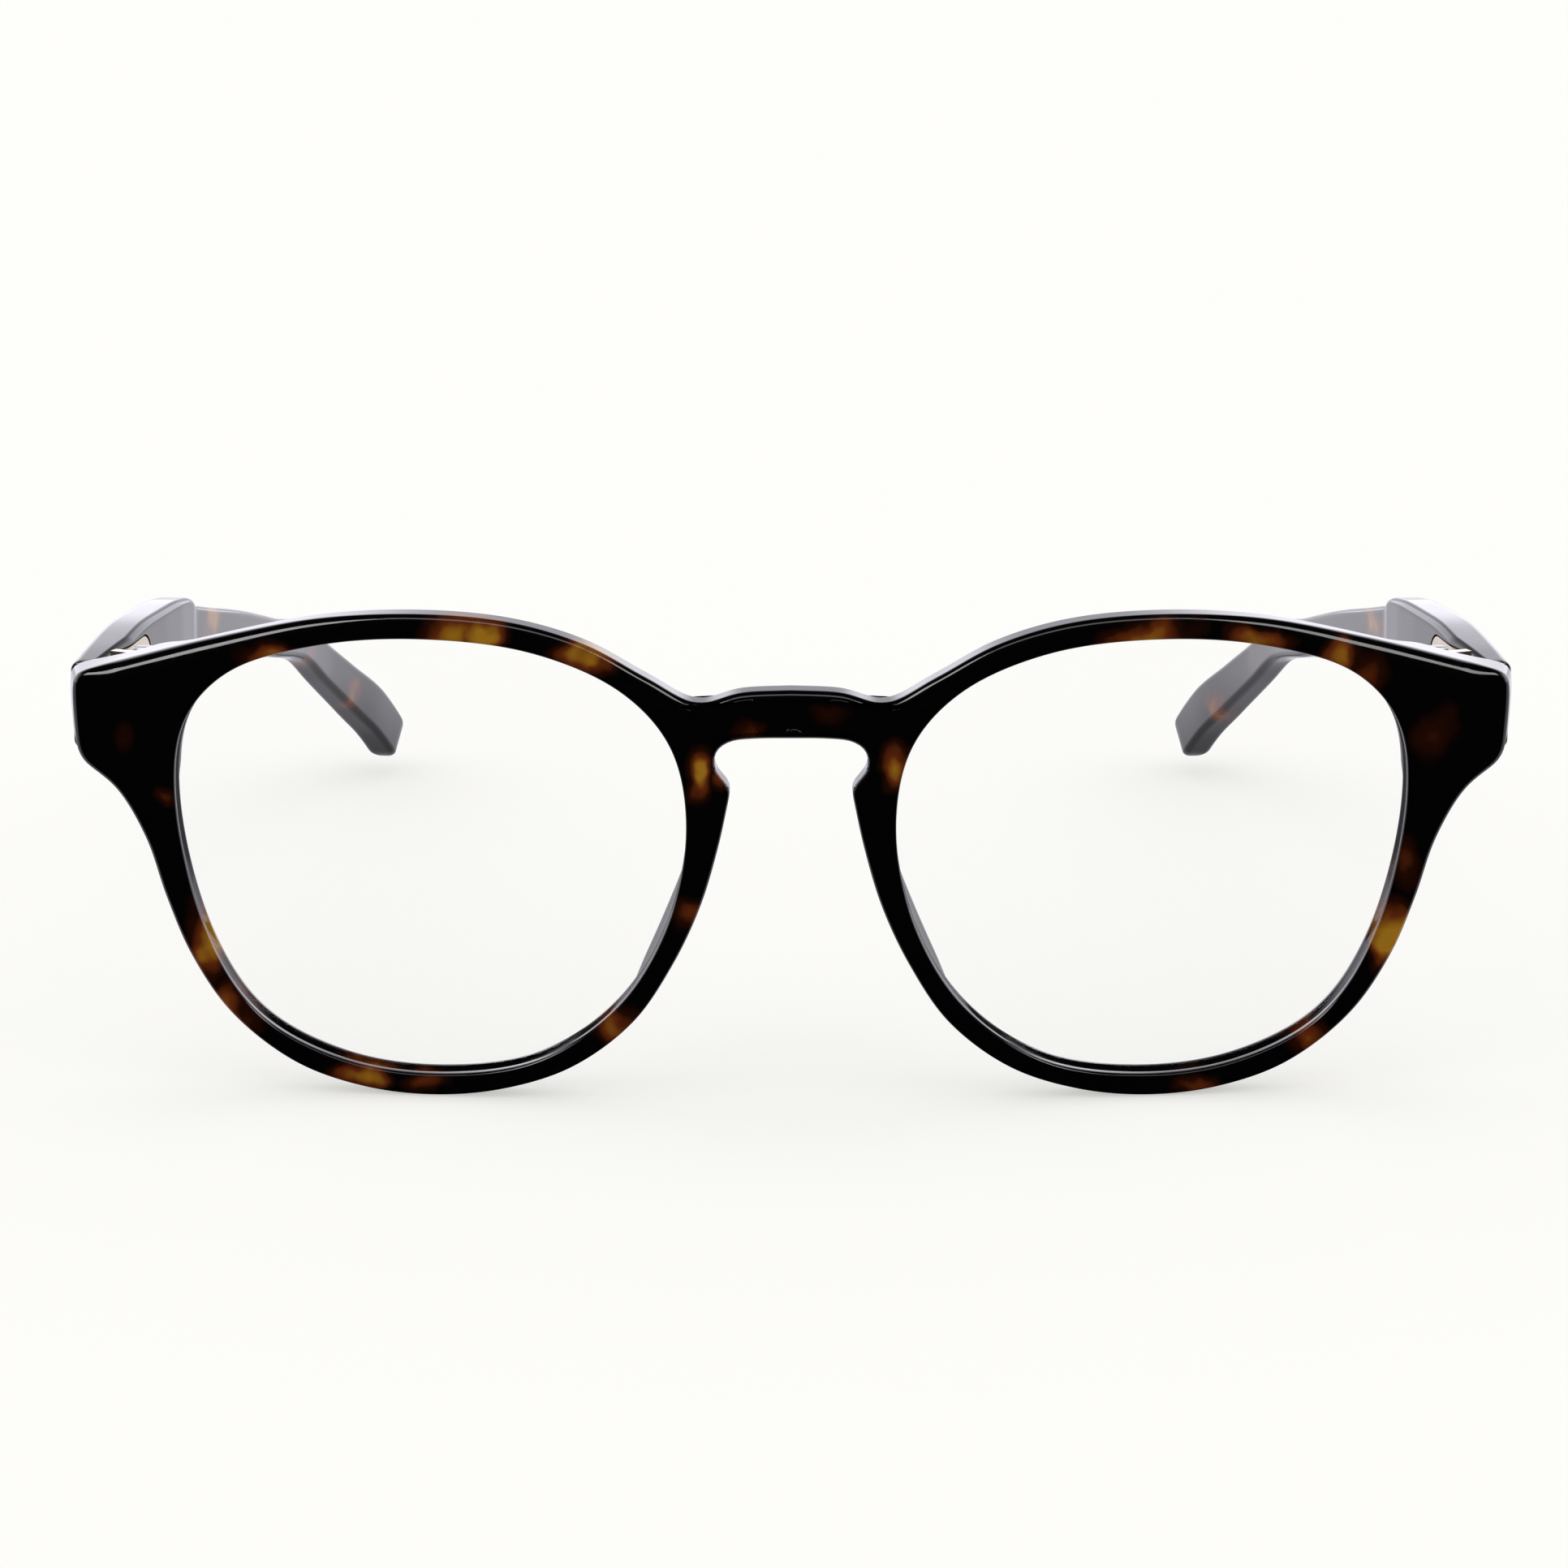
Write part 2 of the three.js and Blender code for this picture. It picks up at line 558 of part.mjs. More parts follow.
// the temple leaf is a plate with a round end, let into the inner face of the temple
function templeLeafPlate(clearance, beyond) {
  const start = AXIS_BEHIND + 0.3 - clearance;
  const half = LEAF_HEIGHT / 2 + clearance;
  const end = AXIS_BEHIND + 0.3 + TEMPLE_LEAF_LENGTH + clearance + beyond;
  const shape = new THREE.Shape();
  shape.moveTo(start, half);
  shape.lineTo(start, -half);
  shape.absarc(end - half, 0, half, -Math.PI / 2, Math.PI / 2, false);
  const depth = LEAF_THICKNESS + clearance + (clearance ? 2 : 0.05);
  return new THREE.ExtrudeGeometry(shape, { depth, bevelEnabled: false, curveSegments: 8 })
    .rotateX(Math.PI / 2).rotateZ(Math.PI / 2)
    .translate(-BLOCK_THICKNESS + LEAF_THICKNESS + clearance - depth, 0, STACK_BOTTOM + LEAF_HEIGHT / 2);
}

function templeLeafPocket() {
  return onTemple(templeLeafPlate(LEAF_CLEARANCE, LEAF_RECESS_BEYOND));
}

function templeHingeGeometry() {
  const reach = AXIS_INSIDE - BLOCK_THICKNESS + LEAF_THICKNESS / 2;
  const knuckles = [0, 2, 4].map((k) => atAxis(knuckle(k, reach, 1.1)));
  return onTemple(cut(join(templeLeafPlate(0, 0), ...knuckles), screwBore()));
}

function screwGeometry() {
  const top = STACK_BOTTOM + KNUCKLE_STACK + KNUCKLE_GAP;
  const screw = join(
    upright(SCREW_RADIUS, STACK_BOTTOM - 0.2, top + 0.1), upright(SCREW_HEAD_RADIUS, top, top + SCREW_HEAD_HEIGHT));
  const slot = box(-2, 2, -0.15, 0.15, top + SCREW_HEAD_HEIGHT - 0.22, top + 1);
  return onTemple(atAxis(cut(screw, slot)));
}

// ---------- core wire and plaque ----------

function wireGeometry(clearance) {
  const rings = [];
  const sides = 8;
  const start = clearance ? WIRE_START - 1.5 : WIRE_START + 2;
  const end = WIRE_END + clearance;
  const steps = 18;
  for (let i = 0; i <= steps; i += 1) {
    const u = start + (end - start) * i / steps;
    const { z, inward } = templeAt(u);
    const slope = templeSlope(u);
    // inside the block the wire runs close to the hinge leaf that it is fixed to
    const beside = 1 - THREE.MathUtils.smoothstep(u, ...WIRE_JOG);
    const middle = ARM_THICKNESS / 2 + (BLOCK_THICKNESS - ARM_THICKNESS) * beside;
    const ring = [];
    for (let k = 0; k < sides; k += 1) {
      const a = 2 * Math.PI * k / sides;
      const radius = WIRE_RADIUS + clearance;
      const rise = radius * Math.sin(a);
      ring.push([radius * Math.cos(a) - middle - inward, u - rise * Math.sin(slope), z + rise * Math.cos(slope)]);
    }
    rings.push(ring);
  }
  return onTemple(loft(rings));
}

function plaqueBody(growth, outer) {
  const shape = new THREE.Shape();
  const half = PLAQUE_HEIGHT / 2 + growth;
  const run = PLAQUE_LENGTH / 2 - PLAQUE_HEIGHT / 2;
  shape.absarc(run, 0, half, -Math.PI / 2, Math.PI / 2, false);
  shape.absarc(-run, 0, half, Math.PI / 2, 3 * Math.PI / 2, false);
  const depth = PLAQUE_DEPTH + growth + outer;
  const slab = new THREE.ExtrudeGeometry(shape, { depth, bevelEnabled: false, curveSegments: 8 });
  // the outline lies along the temple and the thickness runs across it
  return onTemple(slab.rotateX(Math.PI / 2).rotateZ(Math.PI / 2)
    .translate(-PLAQUE_DEPTH - growth, PLAQUE_START + PLAQUE_LENGTH / 2, PLAQUE_Z));
}

function plaquePocket() {
  return plaqueBody(LEAF_CLEARANCE, 1);
}

// ---------- assembly ----------

const group = new THREE.Group();

function add(name, geometry, material) {
  const mesh = new THREE.Mesh(geometry, material);
  mesh.name = name;
  group.add(mesh);
}

add('front', frontGeometry(), acetate);
for (const [name, build, material] of [
  ['lens', lensGeometry, clearLens],
  ['nose_pad', nosePadGeometry, acetate],
  ['temple', templeGeometry, acetate],
  ['core_wire', () => wireGeometry(0), wireMetal],
  ['front_hinge', frontHingeGeometry, hingeMetal],
  ['temple_hinge', templeHingeGeometry, hingeMetal],
  ['hinge_screw', screwGeometry, screwMetal],
  ['plaque', () => plaqueBody(0, PLAQUE_PROUD), plaqueMetal],
]) {
  const geometry = build();
  add(`right_${name}`, geometry, material);
  add(`left_${name}`, mirrored(geometry), material);
}

// the origin is on the table, in the middle of the space that the spectacles take up
const bounds = new THREE.Box3().setFromObject(group);
group.position.set(0, -(bounds.min.y + bounds.max.y) / 2, -bounds.min.z);

export default group;
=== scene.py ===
"""Tortoiseshell acetate spectacles with a keyhole bridge, open on a pale table.

Sizes are in millimetres and turned to metres when a mesh is made. Lengths across (x), back (y) and up (z)
are measured from the middle of the front's face where it meets the table.
"""

import math

import bpy
import numpy as np
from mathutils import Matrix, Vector


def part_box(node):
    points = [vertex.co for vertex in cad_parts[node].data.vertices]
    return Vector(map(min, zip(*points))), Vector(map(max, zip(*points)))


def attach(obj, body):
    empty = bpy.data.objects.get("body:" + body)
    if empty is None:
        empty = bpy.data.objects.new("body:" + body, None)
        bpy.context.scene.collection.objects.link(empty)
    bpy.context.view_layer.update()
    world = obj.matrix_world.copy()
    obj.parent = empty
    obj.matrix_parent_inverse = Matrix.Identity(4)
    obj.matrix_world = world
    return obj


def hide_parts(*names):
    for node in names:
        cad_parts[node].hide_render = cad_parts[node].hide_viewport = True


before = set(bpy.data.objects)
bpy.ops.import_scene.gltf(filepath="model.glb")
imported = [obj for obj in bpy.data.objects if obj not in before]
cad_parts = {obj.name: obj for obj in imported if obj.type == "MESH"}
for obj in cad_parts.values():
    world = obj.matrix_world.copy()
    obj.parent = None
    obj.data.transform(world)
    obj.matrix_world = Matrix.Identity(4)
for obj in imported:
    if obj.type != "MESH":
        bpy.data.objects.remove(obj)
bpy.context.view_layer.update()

MM = 0.001
SIDES = (("left", -1), ("right", 1))

# ---------- the table, the light and the camera ----------
# A wide white table in an even white room, as in a light tent. Only the polished surfaces see what stands
# round it: a bright wall behind, three softboxes that draw a bright line along the top edge of the front,
# and a painted reflection on the table, dark in front as if of black card and brighter far behind, which
# only mirrored rays see. The camera looks down from the front.

LEAN = math.radians(1.2)  # the top of the front stands this far towards the viewer
BRIDGE_TOP = 42.26
front_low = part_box("front")[0]
FACE_Y = front_low.y / MM + math.tan(LEAN) * BRIDGE_TOP  # the face at the table, in the frame's millimetres
BASE_Z = front_low.z / MM

CAMERA_DISTANCE = 340.4  # from the face at the table to the camera, along Y
CAMERA_HEIGHT = 119.8
CAMERA_SIDE = -0.7
CAMERA_PITCH = math.radians(14.34)
CAMERA_LENS = 82.2

TABLE_REACH = 8.0  # metres each way
TABLE_COLOUR = "#fdfdf9"
TABLE_GLOW = 0.5  # the share of the table's brightness that comes through it from below
DARK_REFLECTION_COLOUR = "#0b0b0d"  # painted reflection: the dark that mirrors see in front, as if of a black card
DARK_REFLECTION_EDGE = 10.0  # the painted dark reflection reaches this far behind the face, in millimetres
DARK_REFLECTION_FADE = 6.0  # and fades out over its last few
# painted reflection: the table glows brighter far behind the face, for mirrored rays only
FAR_REFLECTION_SPAN = (140.0, 200.0)  # between these distances behind the face the mirrored table grows brighter
FAR_REFLECTION_STRENGTH = (0.62, 1.3)
ROOM_COLOUR = "#fbfafd"
ROOM_STRENGTH = 1.06
WALL_COLOUR = "#efedf6"
WALL_STRENGTH = 2.6
WALL_TOP = (0.35, 0.72)  # the sine of the height at which the bright wall begins and ceases to fade
WALL_EDGE = 0.25  # it fades in towards the back over this sine either side of straight sideways
WALL_MIDDLE = (0.06, 0.2)  # it is dimmer within the first sine of straight back, and full past the second
WALL_MIDDLE_SHARE = 0.45
SOFTBOXES = (("left_softbox", -0.52, 8.0), ("middle_softbox", 0.0, 2.2), ("right_softbox", 0.52, 6.0))
SOFTBOX_BACK_AND_UP = (-0.47, 0.66)  # metres, as are the aim and the size
SOFTBOX_AIM = (0, -0.07, 0.04)
SOFTBOX_SIZE = (0.52, 0.26)


def linear(colour):
    """The linear RGBA of an sRGB hex colour, by the sRGB transfer curve."""
    share = np.array([int(colour[i : i + 2], 16) / 255 for i in (1, 3, 5)])
    curve = np.where(share <= 0.04045, share / 12.92, ((share + 0.055) / 1.055) ** 2.4)
    return (*curve.tolist(), 1.0)


def add_node(tree, kind, settings=None, links=None):
    """Adds a shader node. Settings go to its properties, or to its inputs by name or number, as links do."""
    node = tree.nodes.new(kind)
    for key, value in (settings or {}).items():
        if isinstance(key, str) and hasattr(node, key):
            setattr(node, key, value)
        else:
            node.inputs[key].default_value = value
    for key, socket in (links or {}).items():
        tree.links.new(socket, node.inputs[key])
    return node


def new_material(name):
    """A named material and its node tree, which starts empty."""
    material = bpy.data.materials.new(name)
    material.use_nodes = True
    material.node_tree.nodes.clear()
    return material, material.node_tree


def add_softbox(name, place, aim, width, depth, radiance):
    """A rectangular softbox that only polished surfaces see. Its power is pi times radiance times area."""
    lamp = bpy.data.lights.new(name, "AREA")
    lamp.shape = "RECTANGLE"
    lamp.size, lamp.size_y = width, depth
    lamp.energy = math.pi * radiance * width * depth
    lamp_object = bpy.data.objects.new(name, lamp)
    bpy.context.scene.collection.objects.link(lamp_object)
    lamp_object.location = place
    lamp_object.rotation_euler = (Vector(place) - Vector(aim)).to_track_quat("Z", "Y").to_euler()
    lamp_object.visible_camera = False
    lamp_object.visible_diffuse = False
    lamp_object.visible_transmission = False


table_mesh = bpy.data.meshes.new("table_top")
table_corners = [(x * TABLE_REACH, y * TABLE_REACH, 0) for x, y in ((-1, -1), (1, -1), (1, 1), (-1, 1))]
table_mesh.from_pydata(table_corners, [], [(0, 1, 2, 3)])
table = bpy.data.objects.new("table_top", table_mesh)
bpy.context.scene.collection.objects.link(table)
# opal plastic over lamps: its own glow keeps it white, and shadows only dim what falls on it from above
table_material, tree = new_material("glowing_white_table")
lit = add_node(tree, "ShaderNodeBsdfDiffuse", {"Color": linear(TABLE_COLOUR)})
glow = add_node(tree, "ShaderNodeEmission", {"Color": linear(TABLE_COLOUR)})
table_seen = add_node(tree, "ShaderNodeMixShader", {0: TABLE_GLOW}, {1: lit.outputs[0], 2: glow.outputs[0]})
table_place = add_node(tree, "ShaderNodeTexCoord").outputs["Object"]
table_axes = add_node(tree, "ShaderNodeSeparateXYZ", {}, {"Vector": table_place})
# painted reflection: mirrored rays alone see the table dark in front of the face, where a black card would
# lie; the camera sees it evenly white
behind_dark_reflection = add_node(
    tree, "ShaderNodeMapRange",
    {"From Min": (FACE_Y + DARK_REFLECTION_EDGE - DARK_REFLECTION_FADE) * MM, "From Max": (FACE_Y + DARK_REFLECTION_EDGE) * MM},
    {"Value": table_axes.outputs["Y"]})
# painted reflection: to mirrored rays the table glows brighter far behind the face
brighter_behind = add_node(
    tree, "ShaderNodeMapRange",
    {"From Min": (FACE_Y + FAR_REFLECTION_SPAN[0]) * MM, "From Max": (FACE_Y + FAR_REFLECTION_SPAN[1]) * MM,
     "To Min": FAR_REFLECTION_STRENGTH[0], "To Max": FAR_REFLECTION_STRENGTH[1]}, {"Value": table_axes.outputs["Y"]})
mirrored_tint = add_node(
    tree, "ShaderNodeMix", {"data_type": "RGBA", 6: linear(DARK_REFLECTION_COLOUR), 7: linear(WALL_COLOUR)},
    {0: behind_dark_reflection.outputs[0]})
table_mirrored = add_node(tree, "ShaderNodeEmission", {}, {
    "Color": mirrored_tint.outputs[2], "Strength": brighter_behind.outputs[0]})
rays = add_node(tree, "ShaderNodeLightPath")
table_surface = add_node(tree, "ShaderNodeMixShader", {}, {
    0: rays.outputs["Is Glossy Ray"], 1: table_seen.outputs[0], 2: table_mirrored.outputs[0]})
add_node(tree, "ShaderNodeOutputMaterial", {}, {"Surface": table_surface.outputs[0]})
table.data.materials.append(table_material)

room = bpy.data.worlds.new("white_room")
bpy.context.scene.world = room
room.use_nodes = True
tree = room.node_tree
tree.nodes.clear()
direction = add_node(tree, "ShaderNodeSeparateXYZ", {},
                     {"Vector": add_node(tree, "ShaderNodeTexCoord").outputs["Generated"]})
low = add_node(tree, "ShaderNodeMapRange",
               {"interpolation_type": "SMOOTHSTEP", "From Min": WALL_TOP[0], "From Max": WALL_TOP[1],
                "To Min": 1.0, "To Max": 0.0}, {"Value": direction.outputs["Z"]})
rear = add_node(tree, "ShaderNodeMapRange",
                {"interpolation_type": "SMOOTHSTEP", "From Min": -WALL_EDGE, "From Max": WALL_EDGE},
                {"Value": direction.outputs["Y"]})
aside = add_node(tree, "ShaderNodeMath", {"operation": "ABSOLUTE"}, {0: direction.outputs["X"]})
sides = add_node(tree, "ShaderNodeMapRange",
                 {"interpolation_type": "SMOOTHSTEP", "From Min": WALL_MIDDLE[0],
                  "From Max": WALL_MIDDLE[1], "To Min": WALL_MIDDLE_SHARE}, {"Value": aside.outputs[0]})
low_rear = add_node(tree, "ShaderNodeMath", {"operation": "MULTIPLY"},
                    {0: low.outputs[0], 1: rear.outputs[0]})
wall = add_node(tree, "ShaderNodeMath", {"operation": "MULTIPLY"},
                {0: low_rear.outputs[0], 1: sides.outputs[0]})
wall_tint = add_node(
    tree, "ShaderNodeMix", {"data_type": "RGBA", 6: linear(DARK_REFLECTION_COLOUR), 7: linear(WALL_COLOUR)},
    {0: wall.outputs[0]})
mirrored_room = add_node(tree, "ShaderNodeBackground", {"Strength": WALL_STRENGTH},
                         {"Color": wall_tint.outputs[2]})
even_room = add_node(tree, "ShaderNodeBackground", {"Color": linear(ROOM_COLOUR), "Strength": ROOM_STRENGTH})
rays = add_node(tree, "ShaderNodeLightPath")
room_seen = add_node(tree, "ShaderNodeMixShader", {}, {
    0: rays.outputs["Is Glossy Ray"], 1: even_room.outputs[0], 2: mirrored_room.outputs[0]})
add_node(tree, "ShaderNodeOutputWorld", {}, {"Surface": room_seen.outputs[0]})

for name, across, radiance in SOFTBOXES:
    add_softbox(name, (across, *SOFTBOX_BACK_AND_UP), SOFTBOX_AIM, *SOFTBOX_SIZE, radiance)

camera_data = bpy.data.cameras.new("camera")
camera_data.lens = CAMERA_LENS
camera = bpy.data.objects.new("camera", camera_data)
bpy.context.scene.collection.objects.link(camera)
camera.location = (CAMERA_SIDE * MM, (FACE_Y - CAMERA_DISTANCE) * MM, CAMERA_HEIGHT * MM)
camera.rotation_euler = (math.pi / 2 - CAMERA_PITCH, 0, 0)
bpy.context.scene.camera = camera
bpy.context.scene.view_settings.view_transform = "Standard"

# ---------- the front ----------
# One plate of cellulose acetate, milled to shape and tumbled until every edge is round and glossy. A
# bezel groove runs round the inside of each rim, and the end-pieces are thicker, for the hinges.

FRONT_HALF_WIDTH = 71.0
RIM_THICKNESS = 3.6
SIDE_FLARE = 1.2
SIDE_FLARE_START = 66.0
FLAT_BRIDGE_HALF = 9.2
FACE_FORM = 0.0015
EDGE_RADIUS = 0.8
ENDPIECE_TOP_RADIUS = 1.7  # the front's top edge is rounder towards the end-pieces
TOP_ROUNDS = (38, 62)  # it grows rounder between these places across the front,
TOP_TIGHTENS = (66.5, 70.3)  # and is back to the common radius between these
TOP_EDGE_ABOVE = 40
MITRE_RADIUS = 0.3  # the back of an end-piece keeps a crisp edge where the temple meets it
MITRE_EDGE = ((60, 63), (31.5, 34))  # across and up, between which that crisp edge begins
BACK_STEP = ((58.5, 63.0), (31.8, 33.4))  # across and up, between which the back steps out to the mitre
APERTURE_RADIUS = 0.35
GROOVE_DEPTH = 0.8
GROOVE_HALF_WIDTH = 0.9
GROOVE_FROM_FRONT = 1.9
LENS_CENTRE = (35.75, 24.75)
LENS_SIZE = (25.42, 44.8)  # half of the opening's width, and its height
TOE_IN = math.radians(5)
MITRE_DEPTH = 4.85
MITRE_Z = 38.6
MITRE_SHOWS_LEAF = 0.12  # the end-piece's back lies this far in front of the mitre, so the leaf shows
OUTLINE_STEP = 0.1  # between neighbouring points of a finished outline
OUTLINE_SOFTNESS = 0.45
APERTURE_SOFTNESS = 1.0
RIM_SPACING = 0.5  # between the lines of the mesh that cross the rim
SIDE_SHARES = (0.04, 0.35, 0.65, 0.96)  # where a flat side has its rings, close to the round edges

# shares of the opening's half-width and height, clockwise as the viewer sees the right lens
LENS_SHAPE = (
    (-0.753, 0.387), (-0.423, 0.471), (-0.010, 0.500), (0.404, 0.483), (0.770, 0.416), (0.953, 0.300),
    (1.000, 0.117), (0.890, -0.195), (0.696, -0.373), (0.364, -0.473), (-0.030, -0.500),
    (-0.423, -0.460), (-0.741, -0.325), (-0.938, -0.122), (-1.000, 0.095), (-0.938, 0.267),
)
# the right half of the outline, clockwise from the top of the bridge to the top of the keyhole
BROW = ((0, BRIDGE_TOP), (5, 42.0), (9.2, 41.0), (14, 43.45), (20, 46.77), (27, 48.85), (36, 49.62),
        (46, 49.0), (57, 46.6), (69.8, 43.05))
ENDPIECE_SIDE = ((69.8, 43.05), (70.75, 42.45), (71, 41.4), (71, 37.5), (70.75, 34.7), (70.15, 33.6))
LOWER_RIM = ((70.15, 33.6), (67.15, 31), (64.4, 26), (62.6, 20), (60.3, 14), (56.4, 8), (50, 3.0),
             (43, 0.65), (36, 0.0), (29, 0.77), (22, 3.2), (15.8, 8), (11.8, 14), (9.0, 20.1),
             (7.2, 26.2), (6.0, 31.8))
KEYHOLE = ((6.0, 31.8), (6.05, 32.5), (6.75, 33.3), (7.55, 34.6), (7.3, 36.1), (6.0, 37.05),
           (3.6, 37.35), (0, 37.4))
# places on the outline, and the place on the opening's edge that lies across the rim from each
ACROSS_THE_RIM = (
    ((0, BRIDGE_TOP), (13.9, 39.9)), ((9.2, 41.0), (15.2, 41.2)), ((20, 46.77), (21.3, 44.6)),
    ((36, 49.62), (35.5, 47.15)), ((57, 46.6), (54.6, 43.7)), ((70.5, 42.7), (59.6, 38.9)),
    ((71, 38.0), (61.0, 34.6)), ((70.3, 33.8), (61.2, 31.0)), ((62.6, 20), (59.9, 20.6)),
    ((56.4, 8), (53.6, 8.2)), ((36, 0.0), (35.5, 2.35)), ((15.8, 8), (17.0, 10.1)),
    ((9.0, 20.1), (11.8, 19.6)), ((6.0, 31.8), (10.4, 30.6)), ((7.55, 34.9), (10.9, 33.9)),
    ((3.6, 37.35), (11.4, 35.7)), ((0, 37.4), (11.9, 36.9)),
)


def through(points, per_span=24, closed=False):
    """A smooth curve through points: between two of them a cubic whose end slopes are those of the
    centripetal Catmull-Rom spline, which weighs each neighbour by the root of its distance."""
    p = np.asarray(points, float)
    p = np.vstack([p[-1], p, p[:2]] if closed else [2 * p[0] - p[1], p, 2 * p[-1] - p[-2]])
    before, a, b, after = p[:-3], p[1:-2], p[2:-1], p[3:]
    gap = [np.sqrt(np.linalg.norm(q - r, axis=1))[:, None] for q, r in ((a, before), (b, a), (after, b))]
    slope_a = ((a - before) / gap[0] - (b - before) / (gap[0] + gap[1]) + (b - a) / gap[1]) * gap[1]
    slope_b = ((b - a) / gap[1] - (after - a) / (gap[1] + gap[2]) + (after - b) / gap[2]) * gap[1]
    t = np.linspace(0, 1, per_span, endpoint=False)[None, :, None]
    a, b, slope_a, slope_b = (v[:, None] for v in (a, b, slope_a, slope_b))
    curve = (2 * t**3 - 3 * t**2 + 1) * a + (t**3 - 2 * t**2 + t) * slope_a
    curve = (curve + (3 * t**2 - 2 * t**3) * b + (t**3 - t**2) * slope_b).reshape(-1, p.shape[1])
    return curve if closed else np.vstack([curve, p[-2]])


def lengths(curve):
    """The distance from the start of a curve to each of its points."""
    return np.append(0, np.cumsum(np.linalg.norm(np.diff(curve, axis=0), axis=1)))


def at_lengths(curve, places):
    """Points of a curve at given distances from its start."""
    own = lengths(curve)
    return np.stack([np.interp(places, own, curve[:, k]) for k in range(curve.shape[1])], 1)


def softened(curve, spread):
    """A closed curve with its corners rounded: every point becomes the mean of those near it, weighted by
    a bell curve of the given spread along the curve."""
    loop = np.vstack([curve, curve[:1]])
    count = int(lengths(loop)[-1] / OUTLINE_STEP)
    loop = at_lengths(loop, np.linspace(0, lengths(loop)[-1], count, endpoint=False))
    reach = int(4 * spread / OUTLINE_STEP)
    bell = np.exp(-0.5 * (np.arange(-reach, reach + 1) * OUTLINE_STEP / spread) ** 2)
    wrapped = np.vstack([loop[-reach:], loop, loop[:reach]])
    return np.stack([np.convolve(wrapped[:, k], bell / bell.sum(), "valid") for k in range(2)], 1)


def left_normals(loop):
    """Unit normals of a closed curve, to the left of its direction of travel."""
    along = np.roll(loop, -1, 0) - np.roll(loop, 1, 0)
    along /= np.linalg.norm(along, axis=1)[:, None]
    return np.stack([-along[:, 1], along[:, 0]], 1)


def smoothstep(low, high, value):
    """0 below low, 1 above high, and a cubic S-curve between them."""
    t = np.clip((value - low) / (high - low), 0, 1)
    return t * t * (3 - 2 * t)


def face_depth(x, z):
    """How far back the front's face lies: flat over the bridge, then a parabola, all of it leaning."""
    past = np.maximum(np.abs(x) - FLAT_BRIDGE_HALF, 0)
    return FACE_FORM * past**2 - math.tan(LEAN) * z


def bent(points):
    """Lays points, whose y is measured back from the front's face, on the curve of the front. The sides of
    the end-pieces run out a little towards the back."""
    x, y, z = points[..., 0], points[..., 1], points[..., 2]
    flare = smoothstep(SIDE_FLARE_START, FRONT_HALF_WIDTH, np.abs(x)) * SIDE_FLARE * y / MITRE_DEPTH
    return np.stack([x + np.sign(x) * flare, face_depth(x, z) + y, z], -1)


def placed(points):
    """Points in metres in the frame, from millimetres measured from the face at the table."""
    return (points + np.array([0, FACE_Y, BASE_Z])) * MM


def grid_faces(rows, columns, wrap_rows=False):
    """Four-cornered faces between neighbouring points of a grid that is stored row by row. Every row is a
    ring, and with wrap_rows so is every column."""
    i = np.arange(rows if wrap_rows else rows - 1)[:, None]
    j = np.arange(columns)[None, :]
    i2, j2 = (i + 1) % rows, (j + 1) % columns
    corners = (i * columns + j, i * columns + j2, i2 * columns + j2, i2 * columns + j)
    return np.stack([np.broadcast_to(c, (i.size, j.size)) for c in corners], -1).reshape(-1, 4)


def outward(points, faces):
    """Turns the faces over where the volume that they enclose comes out negative."""
    a, b, c, d = (points[faces[:, k]] for k in range(4))
    volume = (np.cross(a, b) * c).sum() + (np.cross(a, c) * d).sum()
    return faces if volume > 0 else faces[:, ::-1]


def add_piece(name, points, faces, material, body, slot, *nodes):
    """Makes a smooth-shaded mesh that rides on a body and stands for CAD nodes. A face that names one
    point twice is a triangle."""
    used, faces = np.unique(faces, return_inverse=True)
    faces = faces.reshape(-1, 4)
    mesh = bpy.data.meshes.new(name)
    mesh.from_pydata(points[used].tolist(), [], [list(dict.fromkeys(f)) for f in faces.tolist()])
    mesh.polygons.foreach_set("use_smooth", np.ones(len(mesh.polygons), bool))
    mesh.materials.append(material)
    mesh.update()
    piece = bpy.data.objects.new(name, mesh)
    bpy.context.scene.collection.objects.link(piece)
    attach(piece, body)
    if nodes:
        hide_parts(*nodes)
    return piece


aperture = softened(through(np.array(LENS_SHAPE) * LENS_SIZE + LENS_CENTRE, closed=True), APERTURE_SOFTNESS)
half_outline = np.vstack([through(part)[:-1] for part in (BROW, ENDPIECE_SIDE, LOWER_RIM, KEYHOLE)]
                         + [[KEYHOLE[-1]]])
whole_outline = softened(np.vstack([half_outline, half_outline[-2:0:-1] * [-1, 1]]), OUTLINE_SOFTNESS)


